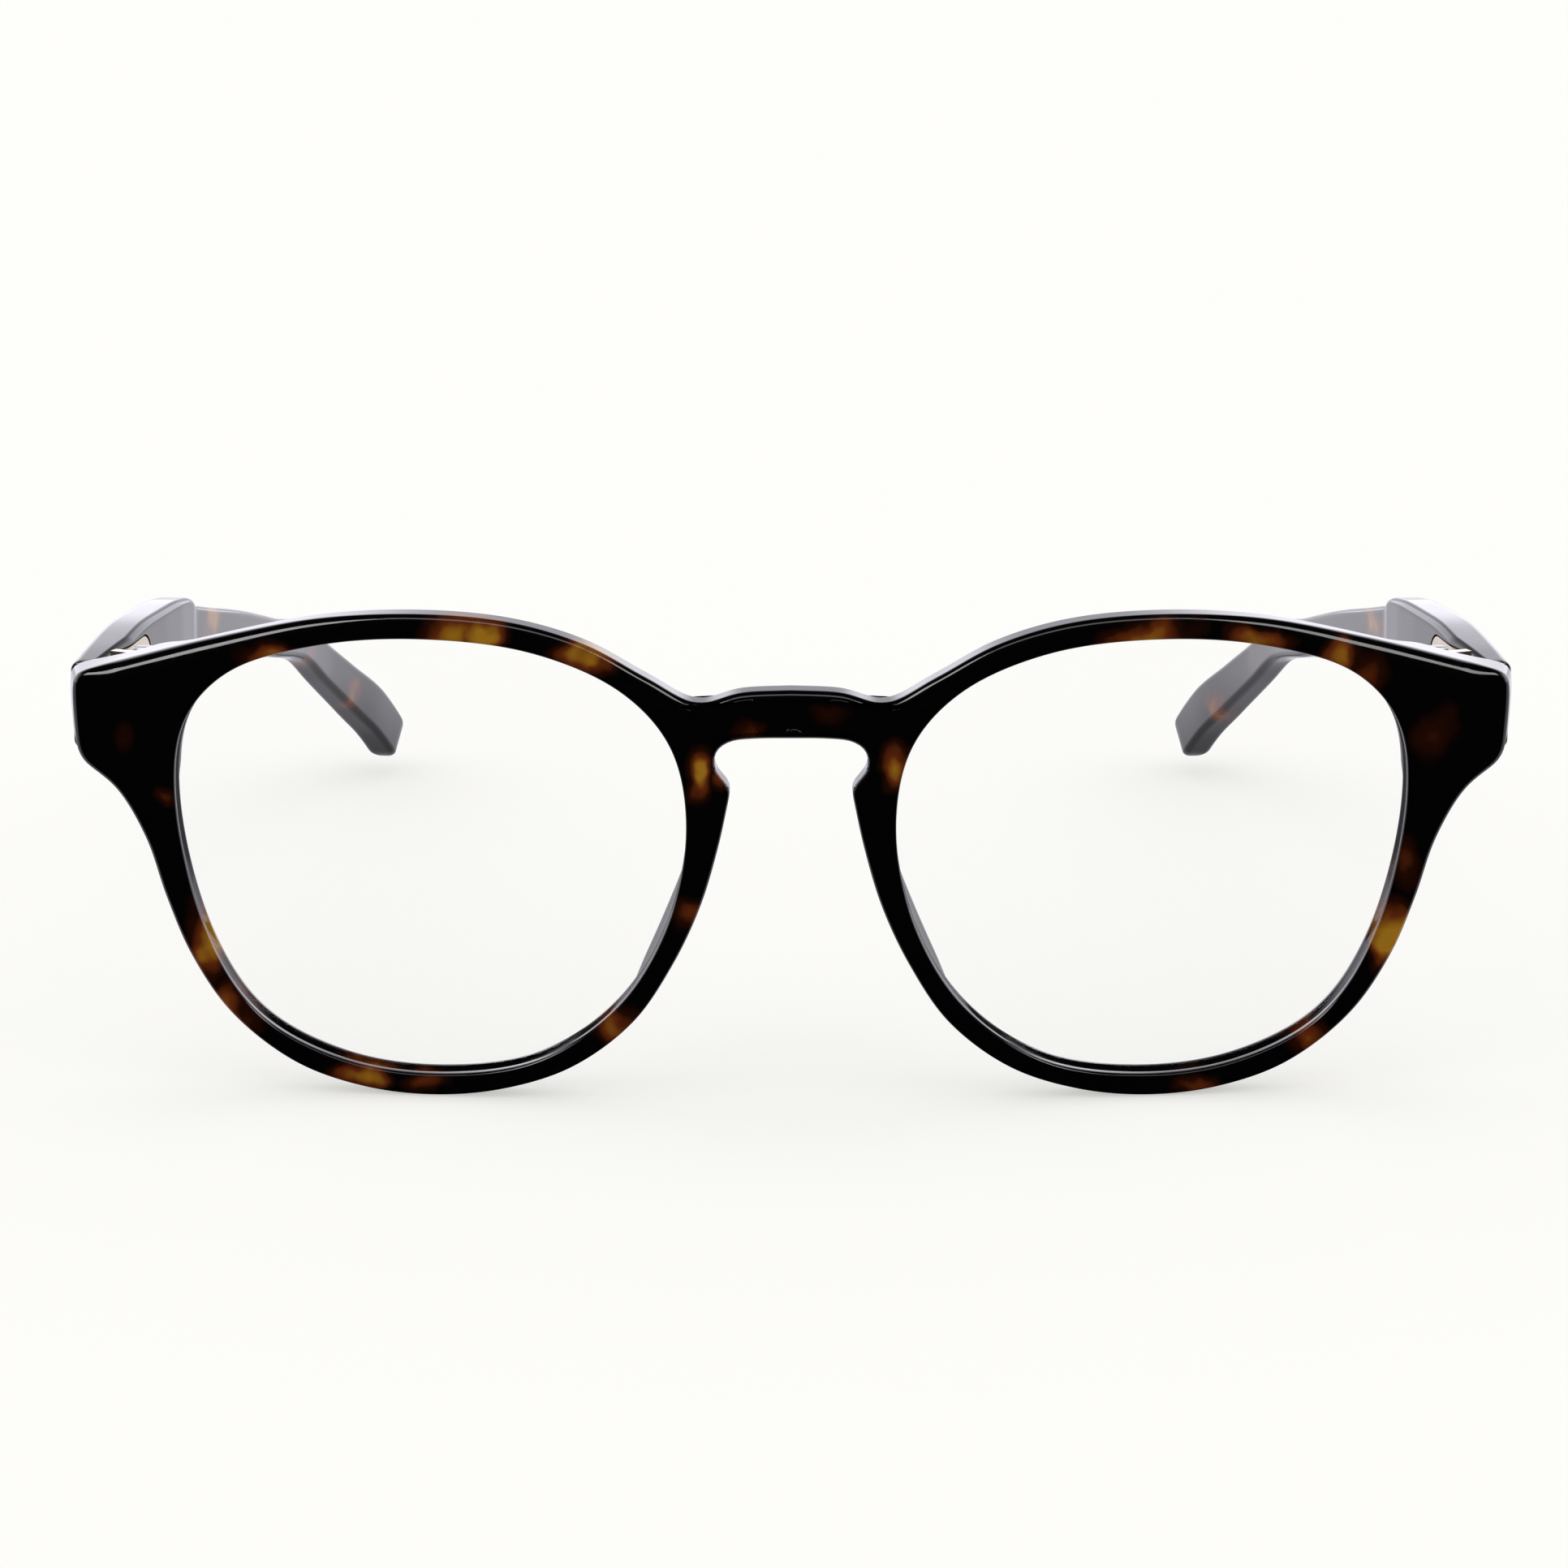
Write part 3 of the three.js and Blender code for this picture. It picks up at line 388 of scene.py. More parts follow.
def rim_lines():
    """Pairs of points on either edge of the right half's rim, in step with each other round the opening.
    Between two named places each edge is divided evenly. The last lines end on the plane x = 0, where
    their normals turn over from that of the keyhole to that of the brow."""
    outline, edge = whole_outline, aperture
    outline_normals, edge_normals = left_normals(outline), left_normals(edge)

    def nearest(loop, point):
        """The number of the point of a loop that lies nearest to a place."""
        return int(np.linalg.norm(loop - np.asarray(point), axis=1).argmin())

    pairs = [(nearest(outline, p), nearest(edge, q)) for p, q in ACROSS_THE_RIM]
    start = pairs[0][1]
    lines = []
    for (p0, q0), (p1, q1) in zip(pairs, pairs[1:] + [(None, start)]):
        run = (q1 - q0) % len(edge)
        steps = max(2, int(max((p1 or 0) - p0, run) * OUTLINE_STEP / RIM_SPACING))
        t = np.arange(steps) / steps
        q = q0 + t * run
        inner = np.stack([np.interp(q, np.arange(2 * len(edge)), np.tile(c, 2)) for c in
                          (*edge.T, *edge_normals.T)], 1)
        if p1 is None:  # the plane of symmetry, from the top of the keyhole up to the brow
            top, low = outline[pairs[0][0]], outline[p0]
            outer = np.stack([0 * t, low[1] + t * (top[1] - low[1]), 0 * t, 2 * t - 1], 1)
        else:
            p = p0 + t * (p1 - p0)
            outer = np.stack([np.interp(p, np.arange(len(outline)), c) for c in
                              (*outline.T, *outline_normals.T)], 1)
            if p0 == pairs[0][0]:
                outer[0] = (0, outline[p0][1], 0, 1)
        lines.append(np.hstack([outer, inner, np.full((steps, 1), p1 is None)]))
    return np.vstack(lines)


def back_depth(x, z):
    """Thickness of the front: even round the rims, and reaching back to the temple's mitre on the
    end-piece, with a soft step between the two."""
    mitre = face_depth(FRONT_HALF_WIDTH, MITRE_Z) + MITRE_DEPTH - MITRE_SHOWS_LEAF
    mitre = mitre - (FRONT_HALF_WIDTH + SIDE_FLARE - x) * math.tan(TOE_IN)
    share = smoothstep(*BACK_STEP[0], x) * smoothstep(*BACK_STEP[1], z)
    return RIM_THICKNESS + share * (mitre - face_depth(x, z) - RIM_THICKNESS)


def front_mesh():
    """The right half as a closed strip round the lens opening: each line across the rim goes over the face,
    round the outer edge, over the back and round the groove. Its mirror image makes the left half."""
    lines = rim_lines()
    outer, outer_normal, inner, inner_normal = (lines[:, k : k + 2] for k in (0, 2, 4, 6))
    on_plane = lines[:, 8] > 0
    quarter = np.linspace(0, math.pi / 2, 7)

    top_share = smoothstep(*TOP_ROUNDS, outer[:, 0]) * (1 - smoothstep(*TOP_TIGHTENS, outer[:, 0]))
    top_share *= outer[:, 1] > TOP_EDGE_ABOVE
    front_radius = EDGE_RADIUS + (ENDPIECE_TOP_RADIUS - EDGE_RADIUS) * top_share
    end_share = smoothstep(*MITRE_EDGE[0], outer[:, 0]) * smoothstep(*MITRE_EDGE[1], outer[:, 1])
    back_radius = EDGE_RADIUS + (MITRE_RADIUS - EDGE_RADIUS) * end_share

    def edge_ring(points, normals, inset, depth):
        """A ring that lies inwards of an edge by inset, at the depth that a function gives."""
        place = points - normals * np.reshape(inset, (-1, 1))
        return np.stack([place[:, 0], depth(place), place[:, 1]], 1)

    def back(place):
        """How deep the back lies at each place."""
        return back_depth(place[:, 0], place[:, 1])

    def face_rings(shares, radius, depth):
        """Rings between the two edges' roundings, at shares of the way across the rim."""
        start, end = inner + inner_normal * APERTURE_RADIUS, outer - outer_normal * radius[:, None]
        for share in shares:
            place = start + (end - start) * share
            yield np.stack([place[:, 0], depth(place), place[:, 1]], 1)

    near_edges = [0.012, 0.05, 0.15, 0.3, 0.5, 0.7, 0.85, 0.95, 0.988]
    fine = [0.012, 0.04] + list(np.linspace(0.08, 0.92, 16)) + [0.96, 0.988]
    rings = list(face_rings(near_edges, front_radius, lambda p: 0 * p[:, 0]))
    wall_start = len(rings)
    for a in quarter:
        inset, depth = front_radius * (1 - np.sin(a)), front_radius * (1 - np.cos(a))
        rings.append(edge_ring(outer, outer_normal, inset, lambda p, depth=depth: depth))
    for share in SIDE_SHARES:
        rings.append(edge_ring(
            outer, outer_normal, 0,
            lambda p, share=share: front_radius + share * (back(p) - front_radius - back_radius)))
    for a in quarter[::-1]:
        inset, depth = back_radius * (1 - np.sin(a)), back_radius * (1 - np.cos(a))
        rings.append(edge_ring(outer, outer_normal, inset, lambda p, depth=depth: back(p) - depth))
    wall_end = len(rings) - 1
    rings += list(face_rings(fine[::-1], back_radius, back))
    for a in quarter[::2]:
        reach, depth = APERTURE_RADIUS * (1 - np.sin(a)), APERTURE_RADIUS * (1 - np.cos(a))
        rings.append(edge_ring(inner, inner_normal, -reach, lambda p, depth=depth: back(p) - depth))
    groove = [(GROOVE_HALF_WIDTH + 0.05, 0), (GROOVE_HALF_WIDTH, 0.02), (0, GROOVE_DEPTH),
              (-GROOVE_HALF_WIDTH, 0.02), (-GROOVE_HALF_WIDTH - 0.05, 0)]
    for aside, reach in groove:
        rings.append(edge_ring(inner, inner_normal, -reach,
                               lambda p, y=GROOVE_FROM_FRONT + aside: 0 * p[:, 0] + y))
    for a in quarter[::-2]:
        reach, depth = APERTURE_RADIUS * (1 - np.sin(a)), APERTURE_RADIUS * (1 - np.cos(a))
        rings.append(edge_ring(inner, inner_normal, -reach, lambda p, depth=depth: 0 * p[:, 0] + depth))

    points = bent(np.array(rings)).reshape(-1, 3)
    columns = len(lines)
    faces = grid_faces(len(rings), columns, wrap_rows=True)
    row, column = np.divmod(faces[:, 0], columns)
    inside_bridge = on_plane[column] & (row >= wall_start) & (row < wall_end)
    faces = faces[~inside_bridge]
    twin = np.arange(len(points)) + len(points)
    shared = np.abs(points[:, 0]) < 1e-6
    twin[shared] = np.flatnonzero(shared)
    both = np.vstack([points, points * [-1, 1, 1]])
    return placed(both), outward(both, np.vstack([faces, twin[faces][:, ::-1]]))


# tortoiseshell cellulose acetate: pressed block with amber clouds in a brown so dark that it looks black,
# tumbled to a deep gloss. The clouds are soft lumps of colour, drawn out and ragged at their edges.
ACETATE_IOR = 1.49
CLOUD_COLOURS = ("#030202", "#1f0902", "#55240a", "#8c6214")
CLOUD_STOPS = (0.08, 0.3, 0.55, 0.85)  # how strong the cloud is where each colour is pure
CLOUD_BEHIND_FACE = 1.0  # how deep the clouds' middles lie
FRONT_CLOUD_DEPTH = 6.0  # half widths through the front, and across a temple
TEMPLE_CLOUD_DEPTH = 5.0
DRIFT_SIZE = 7.0  # the lumps of the noise that makes the edges ragged, and how far it pushes them
DRIFT_PUSH = 6.0
GRAIN_SIZE = 5.5
HANDLING_SIZE = 1.2
# places of the clouds on the front (across and up), their half widths across and up, and their strength
FRONT_CLOUDS = (
    (-49.5, 44.6, 7.5, 2.6, 0.7), (-32.5, 47.9, 5.0, 4.5, 0.75), (-29.8, 47.7, 4.0, 3.5, 1.0),
    (-19.3, 45.4, 5.5, 3.5, 1.0), (-9.3, 33.7, 2.6, 4.8, 1.0), (-6.5, 33.3, 2.2, 2.8, 0.6),
    (-62.2, 29.7, 2.0, 2.2, 0.4), (-58.7, 16.4, 3.8, 7.5, 1.05), (-55.8, 9.0, 3.2, 5.0, 0.6),
    (-43.2, 2.2, 4.5, 2.6, 0.95), (-37.0, 1.4, 4.5, 2.0, 0.55), (-17.2, 7.6, 4.5, 4.5, 0.6),
    (-9.8, 19.8, 2.6, 3.2, 0.55), (-4.5, 38.9, 3.0, 2.0, 0.32), (4.0, 40.0, 3.6, 2.2, 0.3),
    (10.3, 34.5, 3.2, 3.4, 0.75), (34.5, 47.3, 8.0, 2.4, 0.75), (45.1, 47.2, 4.5, 2.4, 0.85),
    (53.6, 45.4, 3.6, 2.4, 0.85), (56.0, 43.4, 4.2, 3.0, 0.45), (63.8, 36.6, 3.6, 5.0, 0.3),
    (60.2, 16.4, 3.2, 5.6, 0.95), (61.5, 23.5, 2.6, 4.0, 0.5), (52.4, 5.6, 4.6, 3.2, 0.55),
    (41.0, 1.0, 4.0, 2.0, 0.45), (13.7, 17.7, 2.4, 3.0, 0.5), (-66.0, 36.0, 3.0, 2.6, 0.22),
)
# on the temples: across, back from the face and up, half widths along and up, and strength
TEMPLE_CLOUDS = (
    (-66.2, 50, 37.5, 9.0, 4.0, 0.95), (66.2, 48, 37.5, 10.0, 4.5, 0.95), (-68.5, 27, 37.0, 6.5, 3.5, 0.5),
    (68.5, 22, 38.5, 6.0, 3.5, 0.45), (-64.4, 74, 31.0, 9.0, 3.2, 0.8), (63.7, 82, 29.5, 10.0, 3.2, 0.85),
    (-61.8, 100, 23.0, 7.0, 3.0, 0.7), (61.3, 106, 21.0, 8.0, 3.0, 0.6), (-58.8, 118, 13.5, 6.0, 3.6, 0.7),
    (58.2, 121, 12.0, 7.0, 3.6, 0.7),
)


def tortoiseshell():
    """Each cloud is 1 at its middle and falls to 0 at its radius, measured from places that noise has
    pushed about, so its edge is ragged. A finer noise thins it, and a ramp gives the sum its colours. The
    gloss is a little duller in specks, where it has been handled."""
    material, tree = new_material("tumbled_tortoiseshell_acetate")
    place = add_node(tree, "ShaderNodeTexCoord").outputs["Object"]
    drift = add_node(tree, "ShaderNodeTexNoise",
                     {"Scale": 1 / (DRIFT_SIZE * MM), "Detail": 3.0, "Roughness": 0.5}, {"Vector": place})
    centred = add_node(tree, "ShaderNodeVectorMath", {"operation": "SUBTRACT", 1: (0.5, 0.5, 0.5)},
                       {0: drift.outputs["Color"]})
    push = add_node(tree, "ShaderNodeVectorMath", {"operation": "SCALE", "Scale": DRIFT_PUSH * MM},
                    {0: centred.outputs[0]})
    ragged = add_node(tree, "ShaderNodeVectorMath", {"operation": "ADD"},
                      {0: place, 1: push.outputs[0]}).outputs[0]
    total = None
    clouds = [(x, 0, z, across, FRONT_CLOUD_DEPTH, up, strength)
              for x, z, across, up, strength in FRONT_CLOUDS]
    clouds += [(x, y, z, TEMPLE_CLOUD_DEPTH, along, up, strength)
               for x, y, z, along, up, strength in TEMPLE_CLOUDS]
    for x, y, z, across, along, up, strength in clouds:
        middle = placed(np.array([x, face_depth(x, z) + y + CLOUD_BEHIND_FACE, z])).tolist()
        reach = (across * MM, along * MM, up * MM)
        measured = add_node(tree, "ShaderNodeMapping",
                            {"vector_type": "TEXTURE", "Location": middle, "Scale": reach},
                            {"Vector": ragged})
        far = add_node(tree, "ShaderNodeVectorMath", {"operation": "LENGTH"}, {0: measured.outputs[0]})
        cloud = add_node(tree, "ShaderNodeMapRange",
                         {"interpolation_type": "SMOOTHSTEP", "To Min": strength, "To Max": 0.0},
                         {"Value": far.outputs["Value"]})
        if total is None:
            total = cloud.outputs[0]
        else:
            total = add_node(tree, "ShaderNodeMath", {"operation": "MAXIMUM"},
                             {0: total, 1: cloud.outputs[0]}).outputs[0]
    grain = add_node(tree, "ShaderNodeTexNoise",
                     {"Scale": 1 / (GRAIN_SIZE * MM), "Detail": 2.5, "Roughness": 0.5}, {"Vector": ragged})
    thin = add_node(tree, "ShaderNodeMapRange",
                    {"From Min": 0.3, "From Max": 0.6, "To Min": 0.7, "To Max": 1.2},
                    {"Value": grain.outputs["Fac"]})
    amount = add_node(tree, "ShaderNodeMath", {"operation": "MULTIPLY"}, {0: total, 1: thin.outputs[0]})
    ramp = add_node(tree, "ShaderNodeValToRGB", {}, {"Fac": amount.outputs[0]})
    stops = ramp.color_ramp.elements
    stops[0].position, stops[1].position = CLOUD_STOPS[0], CLOUD_STOPS[-1]
    for position in CLOUD_STOPS[1:-1]:
        stops.new(position)
    for stop, colour in zip(stops, CLOUD_COLOURS):
        stop.color = linear(colour)
    handling = add_node(tree, "ShaderNodeTexNoise",
                        {"Scale": 1 / (HANDLING_SIZE * MM), "Detail": 5.0, "Roughness": 0.7},
                        {"Vector": place})
    gloss = add_node(tree, "ShaderNodeMapRange",
                     {"From Min": 0.35, "From Max": 0.75, "To Min": 0.04, "To Max": 0.16},
                     {"Value": handling.outputs["Fac"]})
    shader = add_node(tree, "ShaderNodeBsdfPrincipled", {"IOR": ACETATE_IOR},
                      {"Base Color": ramp.outputs["Color"], "Roughness": gloss.outputs[0]})
    add_node(tree, "ShaderNodeOutputMaterial", {}, {"Surface": shader.outputs[0]})
    return material


acetate = tortoiseshell()
add_piece("acetate_front", *front_mesh(), acetate, "frame_front", "acetate", "front")

# ---------- the lenses ----------
# Clear optical plastic, 1.5 mm thick and slightly domed. A V-shaped bevel round the edge snaps into the
# rim's groove.

LENS_THICKNESS = 1.5
LENS_DOME = 1.0
LENS_EDGE_HALF = 0.45
LENS_CLEARANCE = 0.28  # between the bevel and the bottom of the groove
LENS_FACE_INSET = 0.05
LENS_BEVEL_INSET = 0.12
COATED_LENS_IOR = 1.2  # an anti-reflection coating leaves about one part in a hundred of mirrored light


def gathered(rings):
    """Points and faces of a stack of rings whose first and last are drawn in to a point."""
    rings[0], rings[-1] = rings[0].mean(0), rings[-1].mean(0)
    rows, columns = rings.shape[:2]
    last = (rows - 1) * columns
    faces = grid_faces(rows, columns)
    faces[faces < columns] = 0
    faces[faces >= last] = last
    return rings.reshape(-1, 3), faces


def lens_mesh(side):
    """Rings that are copies of the opening's edge, shrunk towards its middle: out over the domed front,
    round the bevel and back in over the rear. The innermost rings close in a point."""
    edge = aperture[::4]
    normals = left_normals(aperture)[::4]
    rings = []

    def ring(share, growth, y):
        """Adds a copy of the edge, first grown and then shrunk to a share of its size, at depth y."""
        place = (edge + normals * growth - LENS_CENTRE) * share + LENS_CENTRE
        rings.append(np.stack([place[:, 0], np.full(len(place), y), place[:, 1]], 1))

    shares = [0.001] + list(np.sin(np.linspace(0.06, math.pi / 2, 16)) * 0.985)
    dome = [-LENS_DOME * (1 - share**2) for share in shares]
    for share, rise in zip(shares, dome):
        ring(share, -LENS_FACE_INSET, GROOVE_FROM_FRONT - LENS_THICKNESS / 2 + rise)
    bevel = ((-LENS_BEVEL_INSET, -LENS_EDGE_HALF), (GROOVE_DEPTH - LENS_CLEARANCE, 0),
             (-LENS_BEVEL_INSET, LENS_EDGE_HALF))
    for growth, half in bevel:
        ring(1, growth, GROOVE_FROM_FRONT + half)
    for share, rise in zip(shares[::-1], dome[::-1]):
        ring(share, -LENS_FACE_INSET, GROOVE_FROM_FRONT + LENS_THICKNESS / 2 + rise)
    flat, faces = gathered(bent(np.array(rings)) * [side, 1, 1])
    return placed(flat), outward(flat, faces)


def clear_plastic():
    """Optical plastic under a coating: light goes straight through it, and a little is mirrored, as much
    from inside as from outside."""
    material, tree = new_material("clear_optical_plastic")
    see_through = add_node(tree, "ShaderNodeBsdfTransparent", {"Color": linear("#ffffff")})
    gloss = add_node(tree, "ShaderNodeBsdfGlossy", {"Roughness": 0.0})
    surface = add_node(tree, "ShaderNodeNewGeometry")
    both_ways = add_node(tree, "ShaderNodeMapRange",
                         {"To Min": COATED_LENS_IOR, "To Max": 1 / COATED_LENS_IOR},
                         {"Value": surface.outputs["Backfacing"]})
    mirrored = add_node(tree, "ShaderNodeFresnel", {}, {"IOR": both_ways.outputs[0]})
    shader = add_node(tree, "ShaderNodeMixShader", {},
                      {0: mirrored.outputs[0], 1: see_through.outputs[0], 2: gloss.outputs[0]})
    add_node(tree, "ShaderNodeOutputMaterial", {}, {"Surface": shader.outputs[0]})
    return material


clear_lens = clear_plastic()
for side, sign in SIDES:
    add_piece(f"{side}_clear_lens", *lens_mesh(sign), clear_lens, "frame_front", "lens", f"{side}_lens")

# ---------- the nose pads ----------
# Small acetate fins glued to the back of each rim beside the nose, and tumbled with the front, so that
# their edges are round and the joint hardly shows.

PAD_DEPTH = 5.2
PAD_THICKNESS = 2.2
PAD_TOP = 28.5
PAD_BOTTOM = 9.0
PAD_LEAN = 0.9
PAD_SUNK = 0.25
PAD_INSET = 0.35  # from the rim's edge beside the nose


def pad_mesh(side):
    """A fin: at each height its section is half of a rounded oval that stands on the back of the rim and
    leans away from the nose. Its depth follows a half circle from the bottom to the top."""
    t = -np.cos(np.linspace(0.02, math.pi - 0.02, 49))
    height = (PAD_TOP + PAD_BOTTOM) / 2 + t * (PAD_TOP - PAD_BOTTOM) / 2
    swell = np.sqrt(1 - t**2)
    nose = half_outline[(half_outline[:, 0] < LENS_CENTRE[0] - 8) & (half_outline[:, 1] < LOWER_RIM[-1][1])]
    nose = nose[np.argsort(nose[:, 1])]
    root = np.interp(height, nose[:, 1], nose[:, 0]) + PAD_INSET
    turn = np.linspace(0, 2 * math.pi, 40, endpoint=False)
    width = PAD_THICKNESS * (0.5 + 0.5 * swell)[:, None]
    rise = np.clip(np.sin(turn), 0, None) ** 0.75 - 0.05 * (np.sin(turn) < 0)
    depth = PAD_DEPTH * swell[:, None] * rise[None, :]
    lean = PAD_LEAN * swell[:, None] * rise[None, :] ** 2
    x = root[:, None] + width / 2 * (1 + np.cos(turn)[None, :]) + lean
    y = RIM_THICKNESS - PAD_SUNK + depth
    points = bent(np.stack([x, y, np.broadcast_to(height[:, None], x.shape)], -1)) * [side, 1, 1]
    flat, faces = gathered(points)
    return placed(flat), outward(flat, faces)


for side, sign in SIDES:
    add_piece(f"{side}_glued_nose_pad", *pad_mesh(sign), acetate, "frame_front", "acetate",
              f"{side}_nose_pad")

# ---------- the temples ----------
# Acetate arms cut from the same block as the front: stout and flat-sided at the hinge, slim behind it, and
# broad and rounded at the tip. The inner face is cut back in a long taper in front of the hinge leaf.

BLOCK_THICKNESS = 4.2
ARM_THICKNESS = 3.2
TIP_THICKNESS = 3.6
TEMPLE_RADIUS = 0.85
TIP_INWARD = 4.4
TIP_BEND_START = 90.0
TEMPLE_END = 131.0
TIP_ROUNDING = 2.2
TIP_CUT_START = 112.0  # behind here the sections lean, so that the tip is cut back below
TIP_CUT_BACK = 0.45  # by this share of its height
TAPER_LENGTH = 8.5
TAPER_DEPTH = 1.3
MITRE_GAP = 0.15
TEMPLE_START_ROUNDING = 0.25
TEMPLE_RING_SPACING = 0.8
# distance along the temple, height of its middle above the table, height and thickness of the section
TEMPLE_STATIONS = np.array((
    (0, 38.35, 8.9, BLOCK_THICKNESS), (6, 38.95, 9.1, BLOCK_THICKNESS), (14, 39.5, 9.2, BLOCK_THICKNESS),
    (22, 39.3, 9.1, BLOCK_THICKNESS), (29, 38.9, 9.0, BLOCK_THICKNESS - 0.1),
    (34, 38.35, 8.6, BLOCK_THICKNESS - 0.3), (35.6, 38.0, 8.1, BLOCK_THICKNESS - 0.3),
    (37, 37.75, 6.9, ARM_THICKNESS), (48, 35.75, 5.8, ARM_THICKNESS), (60, 33.35, 5.2, ARM_THICKNESS),
    (68.7, 31.3, 4.9, ARM_THICKNESS), (78, 28.9, 4.8, ARM_THICKNESS), (94, 24.9, 4.9, ARM_THICKNESS),
    (104, 19.9, 5.4, ARM_THICKNESS), (114, 14.5, 6.1, TIP_THICKNESS - 0.2),
    (122.3, 9.5, 7.1, TIP_THICKNESS), (127.3, 5.4, 7.6, TIP_THICKNESS), (130.4, 2.4, 7.6, TIP_THICKNESS),
    (TEMPLE_END, 1.85, 7.6, TIP_THICKNESS)))


def on_temple(points):
    """Turns points given as (inwards from the outer face, along the temple, up) to the front's axes."""
    inward, along, up = points[..., 0], points[..., 1], points[..., 2]
    start_y = face_depth(FRONT_HALF_WIDTH, MITRE_Z) + MITRE_DEPTH
    return np.stack([FRONT_HALF_WIDTH + SIDE_FLARE - inward * math.cos(TOE_IN) - along * math.sin(TOE_IN),
                     start_y - inward * math.sin(TOE_IN) + along * math.cos(TOE_IN), up], -1)


def along_temple(u):
    """The middle height, section height, thickness and slope at places along the temple. The stations are
    joined smoothly, and a narrow bell curve rounds the step at the end of the stout part."""
    step, margin = 0.25, 6
    fine = np.arange(-margin, TEMPLE_END + margin, step)
    start, end = int(margin / step), int((margin + TEMPLE_END) / step)
    curve = through(TEMPLE_STATIONS[:, :2])
    middle = np.interp(fine, curve[:, 0], curve[:, 1])
    slope_start, slope_end = middle[start + 2] - middle[start + 1], middle[end - 2] - middle[end - 3]
    middle += np.where(fine < 0, fine / step * slope_start, 0)
    middle += np.where(fine > TEMPLE_END, (fine - TEMPLE_END) / step * slope_end, 0)
    sizes = [np.interp(fine, TEMPLE_STATIONS[:, 0], TEMPLE_STATIONS[:, k]) for k in (2, 3)]

    def eased(values, spread, reach):
        """Each value becomes the mean of its neighbours, weighted by a bell curve."""
        bell = np.exp(-0.5 * (np.arange(-reach, reach + 1) * step / spread) ** 2)
        return np.convolve(values, bell / bell.sum(), "same")

    smooth = [eased(values, 0.7, 12) for values in (middle, *sizes)]
    z, height, thickness = (np.interp(u, fine, values) for values in smooth)
    rise = eased(np.gradient(smooth[0], step), 2.0, 24)
    spoilt = 30  # steps at either end where the wide bell has run out of values
    slope = np.arctan(np.interp(u, fine[spoilt:-spoilt], rise[spoilt:-spoilt])) * smoothstep(0, 50, u)
    return z, height, thickness, slope


def rounded_sections(half_width, half_height, radius):
    """Rectangles with rounded corners, one for each place along the temple, as (across, up): an arc round
    each corner, then a few points along the side that follows it."""
    arcs = []
    for quarter, (sx, sz) in enumerate(((1, 1), (-1, 1), (-1, -1), (1, -1))):
        turn = (quarter + np.linspace(0, 1, 7)) * math.pi / 2
        arcs.append(np.stack([(sx * (half_width - radius))[:, None] + np.outer(radius, np.cos(turn)),
                              (sz * (half_height - radius))[:, None] + np.outer(radius, np.sin(turn))], -1))
    parts = []
    for arc, following in zip(arcs, arcs[1:] + arcs[:1]):
        side = arc[:, -1:] + (following[:, :1] - arc[:, -1:]) * np.reshape(SIDE_SHARES, (-1, 1))
        parts += [arc, side]
    return np.concatenate(parts, 1)


def capped(rings):
    """Points and faces of a stack of rings that is closed at either end by a fan round a middle point."""
    rows, columns = rings.shape[:2]
    points = np.vstack([rings.reshape(-1, 3), rings[0].mean(0), rings[-1].mean(0)])
    i = np.arange(columns)
    j = (i + 1) % columns
    end = (rows - 1) * columns
    start_cap = np.stack([np.full(columns, rows * columns), j, i, i], 1)
    end_cap = np.stack([np.full(columns, rows * columns + 1), end + i, end + j, end + j], 1)
    return points, np.vstack([grid_faces(rows, columns), start_cap, end_cap])


def temple_mesh(side):
    """Rings square to the middle line of the temple: each is a rectangle with rounded corners, drawn in
    from both sides towards the ends so that the ends are round as well."""
    mitre_turn = np.linspace(0, math.pi / 2, 5)[:-1]
    tip_turn = np.linspace(0, math.pi / 2, 12)
    u = np.concatenate([MITRE_GAP + TEMPLE_START_ROUNDING * (1 - np.cos(mitre_turn)),
                        np.arange(MITRE_GAP + TEMPLE_START_ROUNDING, TEMPLE_END - TIP_ROUNDING,
                                  TEMPLE_RING_SPACING),
                        TEMPLE_END - TIP_ROUNDING + TIP_ROUNDING * np.sin(tip_turn)])
    pull = np.zeros_like(u)
    pull[: len(mitre_turn)] = TEMPLE_START_ROUNDING * (1 - np.sin(mitre_turn))
    pull[-len(tip_turn) :] = TIP_ROUNDING * (1 - np.cos(tip_turn))
    z, height, thickness, slope = along_temple(u)
    taper = TAPER_DEPTH * np.clip(1 - u / TAPER_LENGTH, 0, 1)
    half_height = height / 2 - pull
    half_width = (thickness - taper) / 2 - np.minimum(pull, TIP_THICKNESS / 2 - 0.3) * 0.9
    radius = np.minimum(TEMPLE_RADIUS, np.minimum(half_height, half_width) * 0.95)
    across, up = np.moveaxis(rounded_sections(half_width, half_height, radius), -1, 0)

    inward = TIP_INWARD * (np.maximum(u - TIP_BEND_START, 0) / (TEMPLE_END - TIP_BEND_START)) ** 2
    middle = ((thickness - taper) / 2 + inward)[:, None]
    cut_back = TIP_CUT_BACK * smoothstep(TIP_CUT_START, TEMPLE_END, u)[:, None]
    along = cut_back * (up - height[:, None] / 2)
    sine, cosine = np.sin(slope)[:, None], np.cos(slope)[:, None]
    rings = np.stack([middle - across, u[:, None] - up * sine + along * cosine,
                      z[:, None] + up * cosine + along * sine], -1)
    flat, faces = capped(on_temple(rings) * [side, 1, 1])
    return placed(flat), outward(flat, faces)


LEAF_SPAN = (2.05, 15.05)  # the hinge leaf's start and round end, along the temple
LEAF_HEIGHTS = (37.6, 42.9)
LEAF_THICKNESS = 1.0
LEAF_CLEARANCE = 0.1
RECESS_BEYOND = 0.5  # the round end of the recess lies this much further back than the leaf's


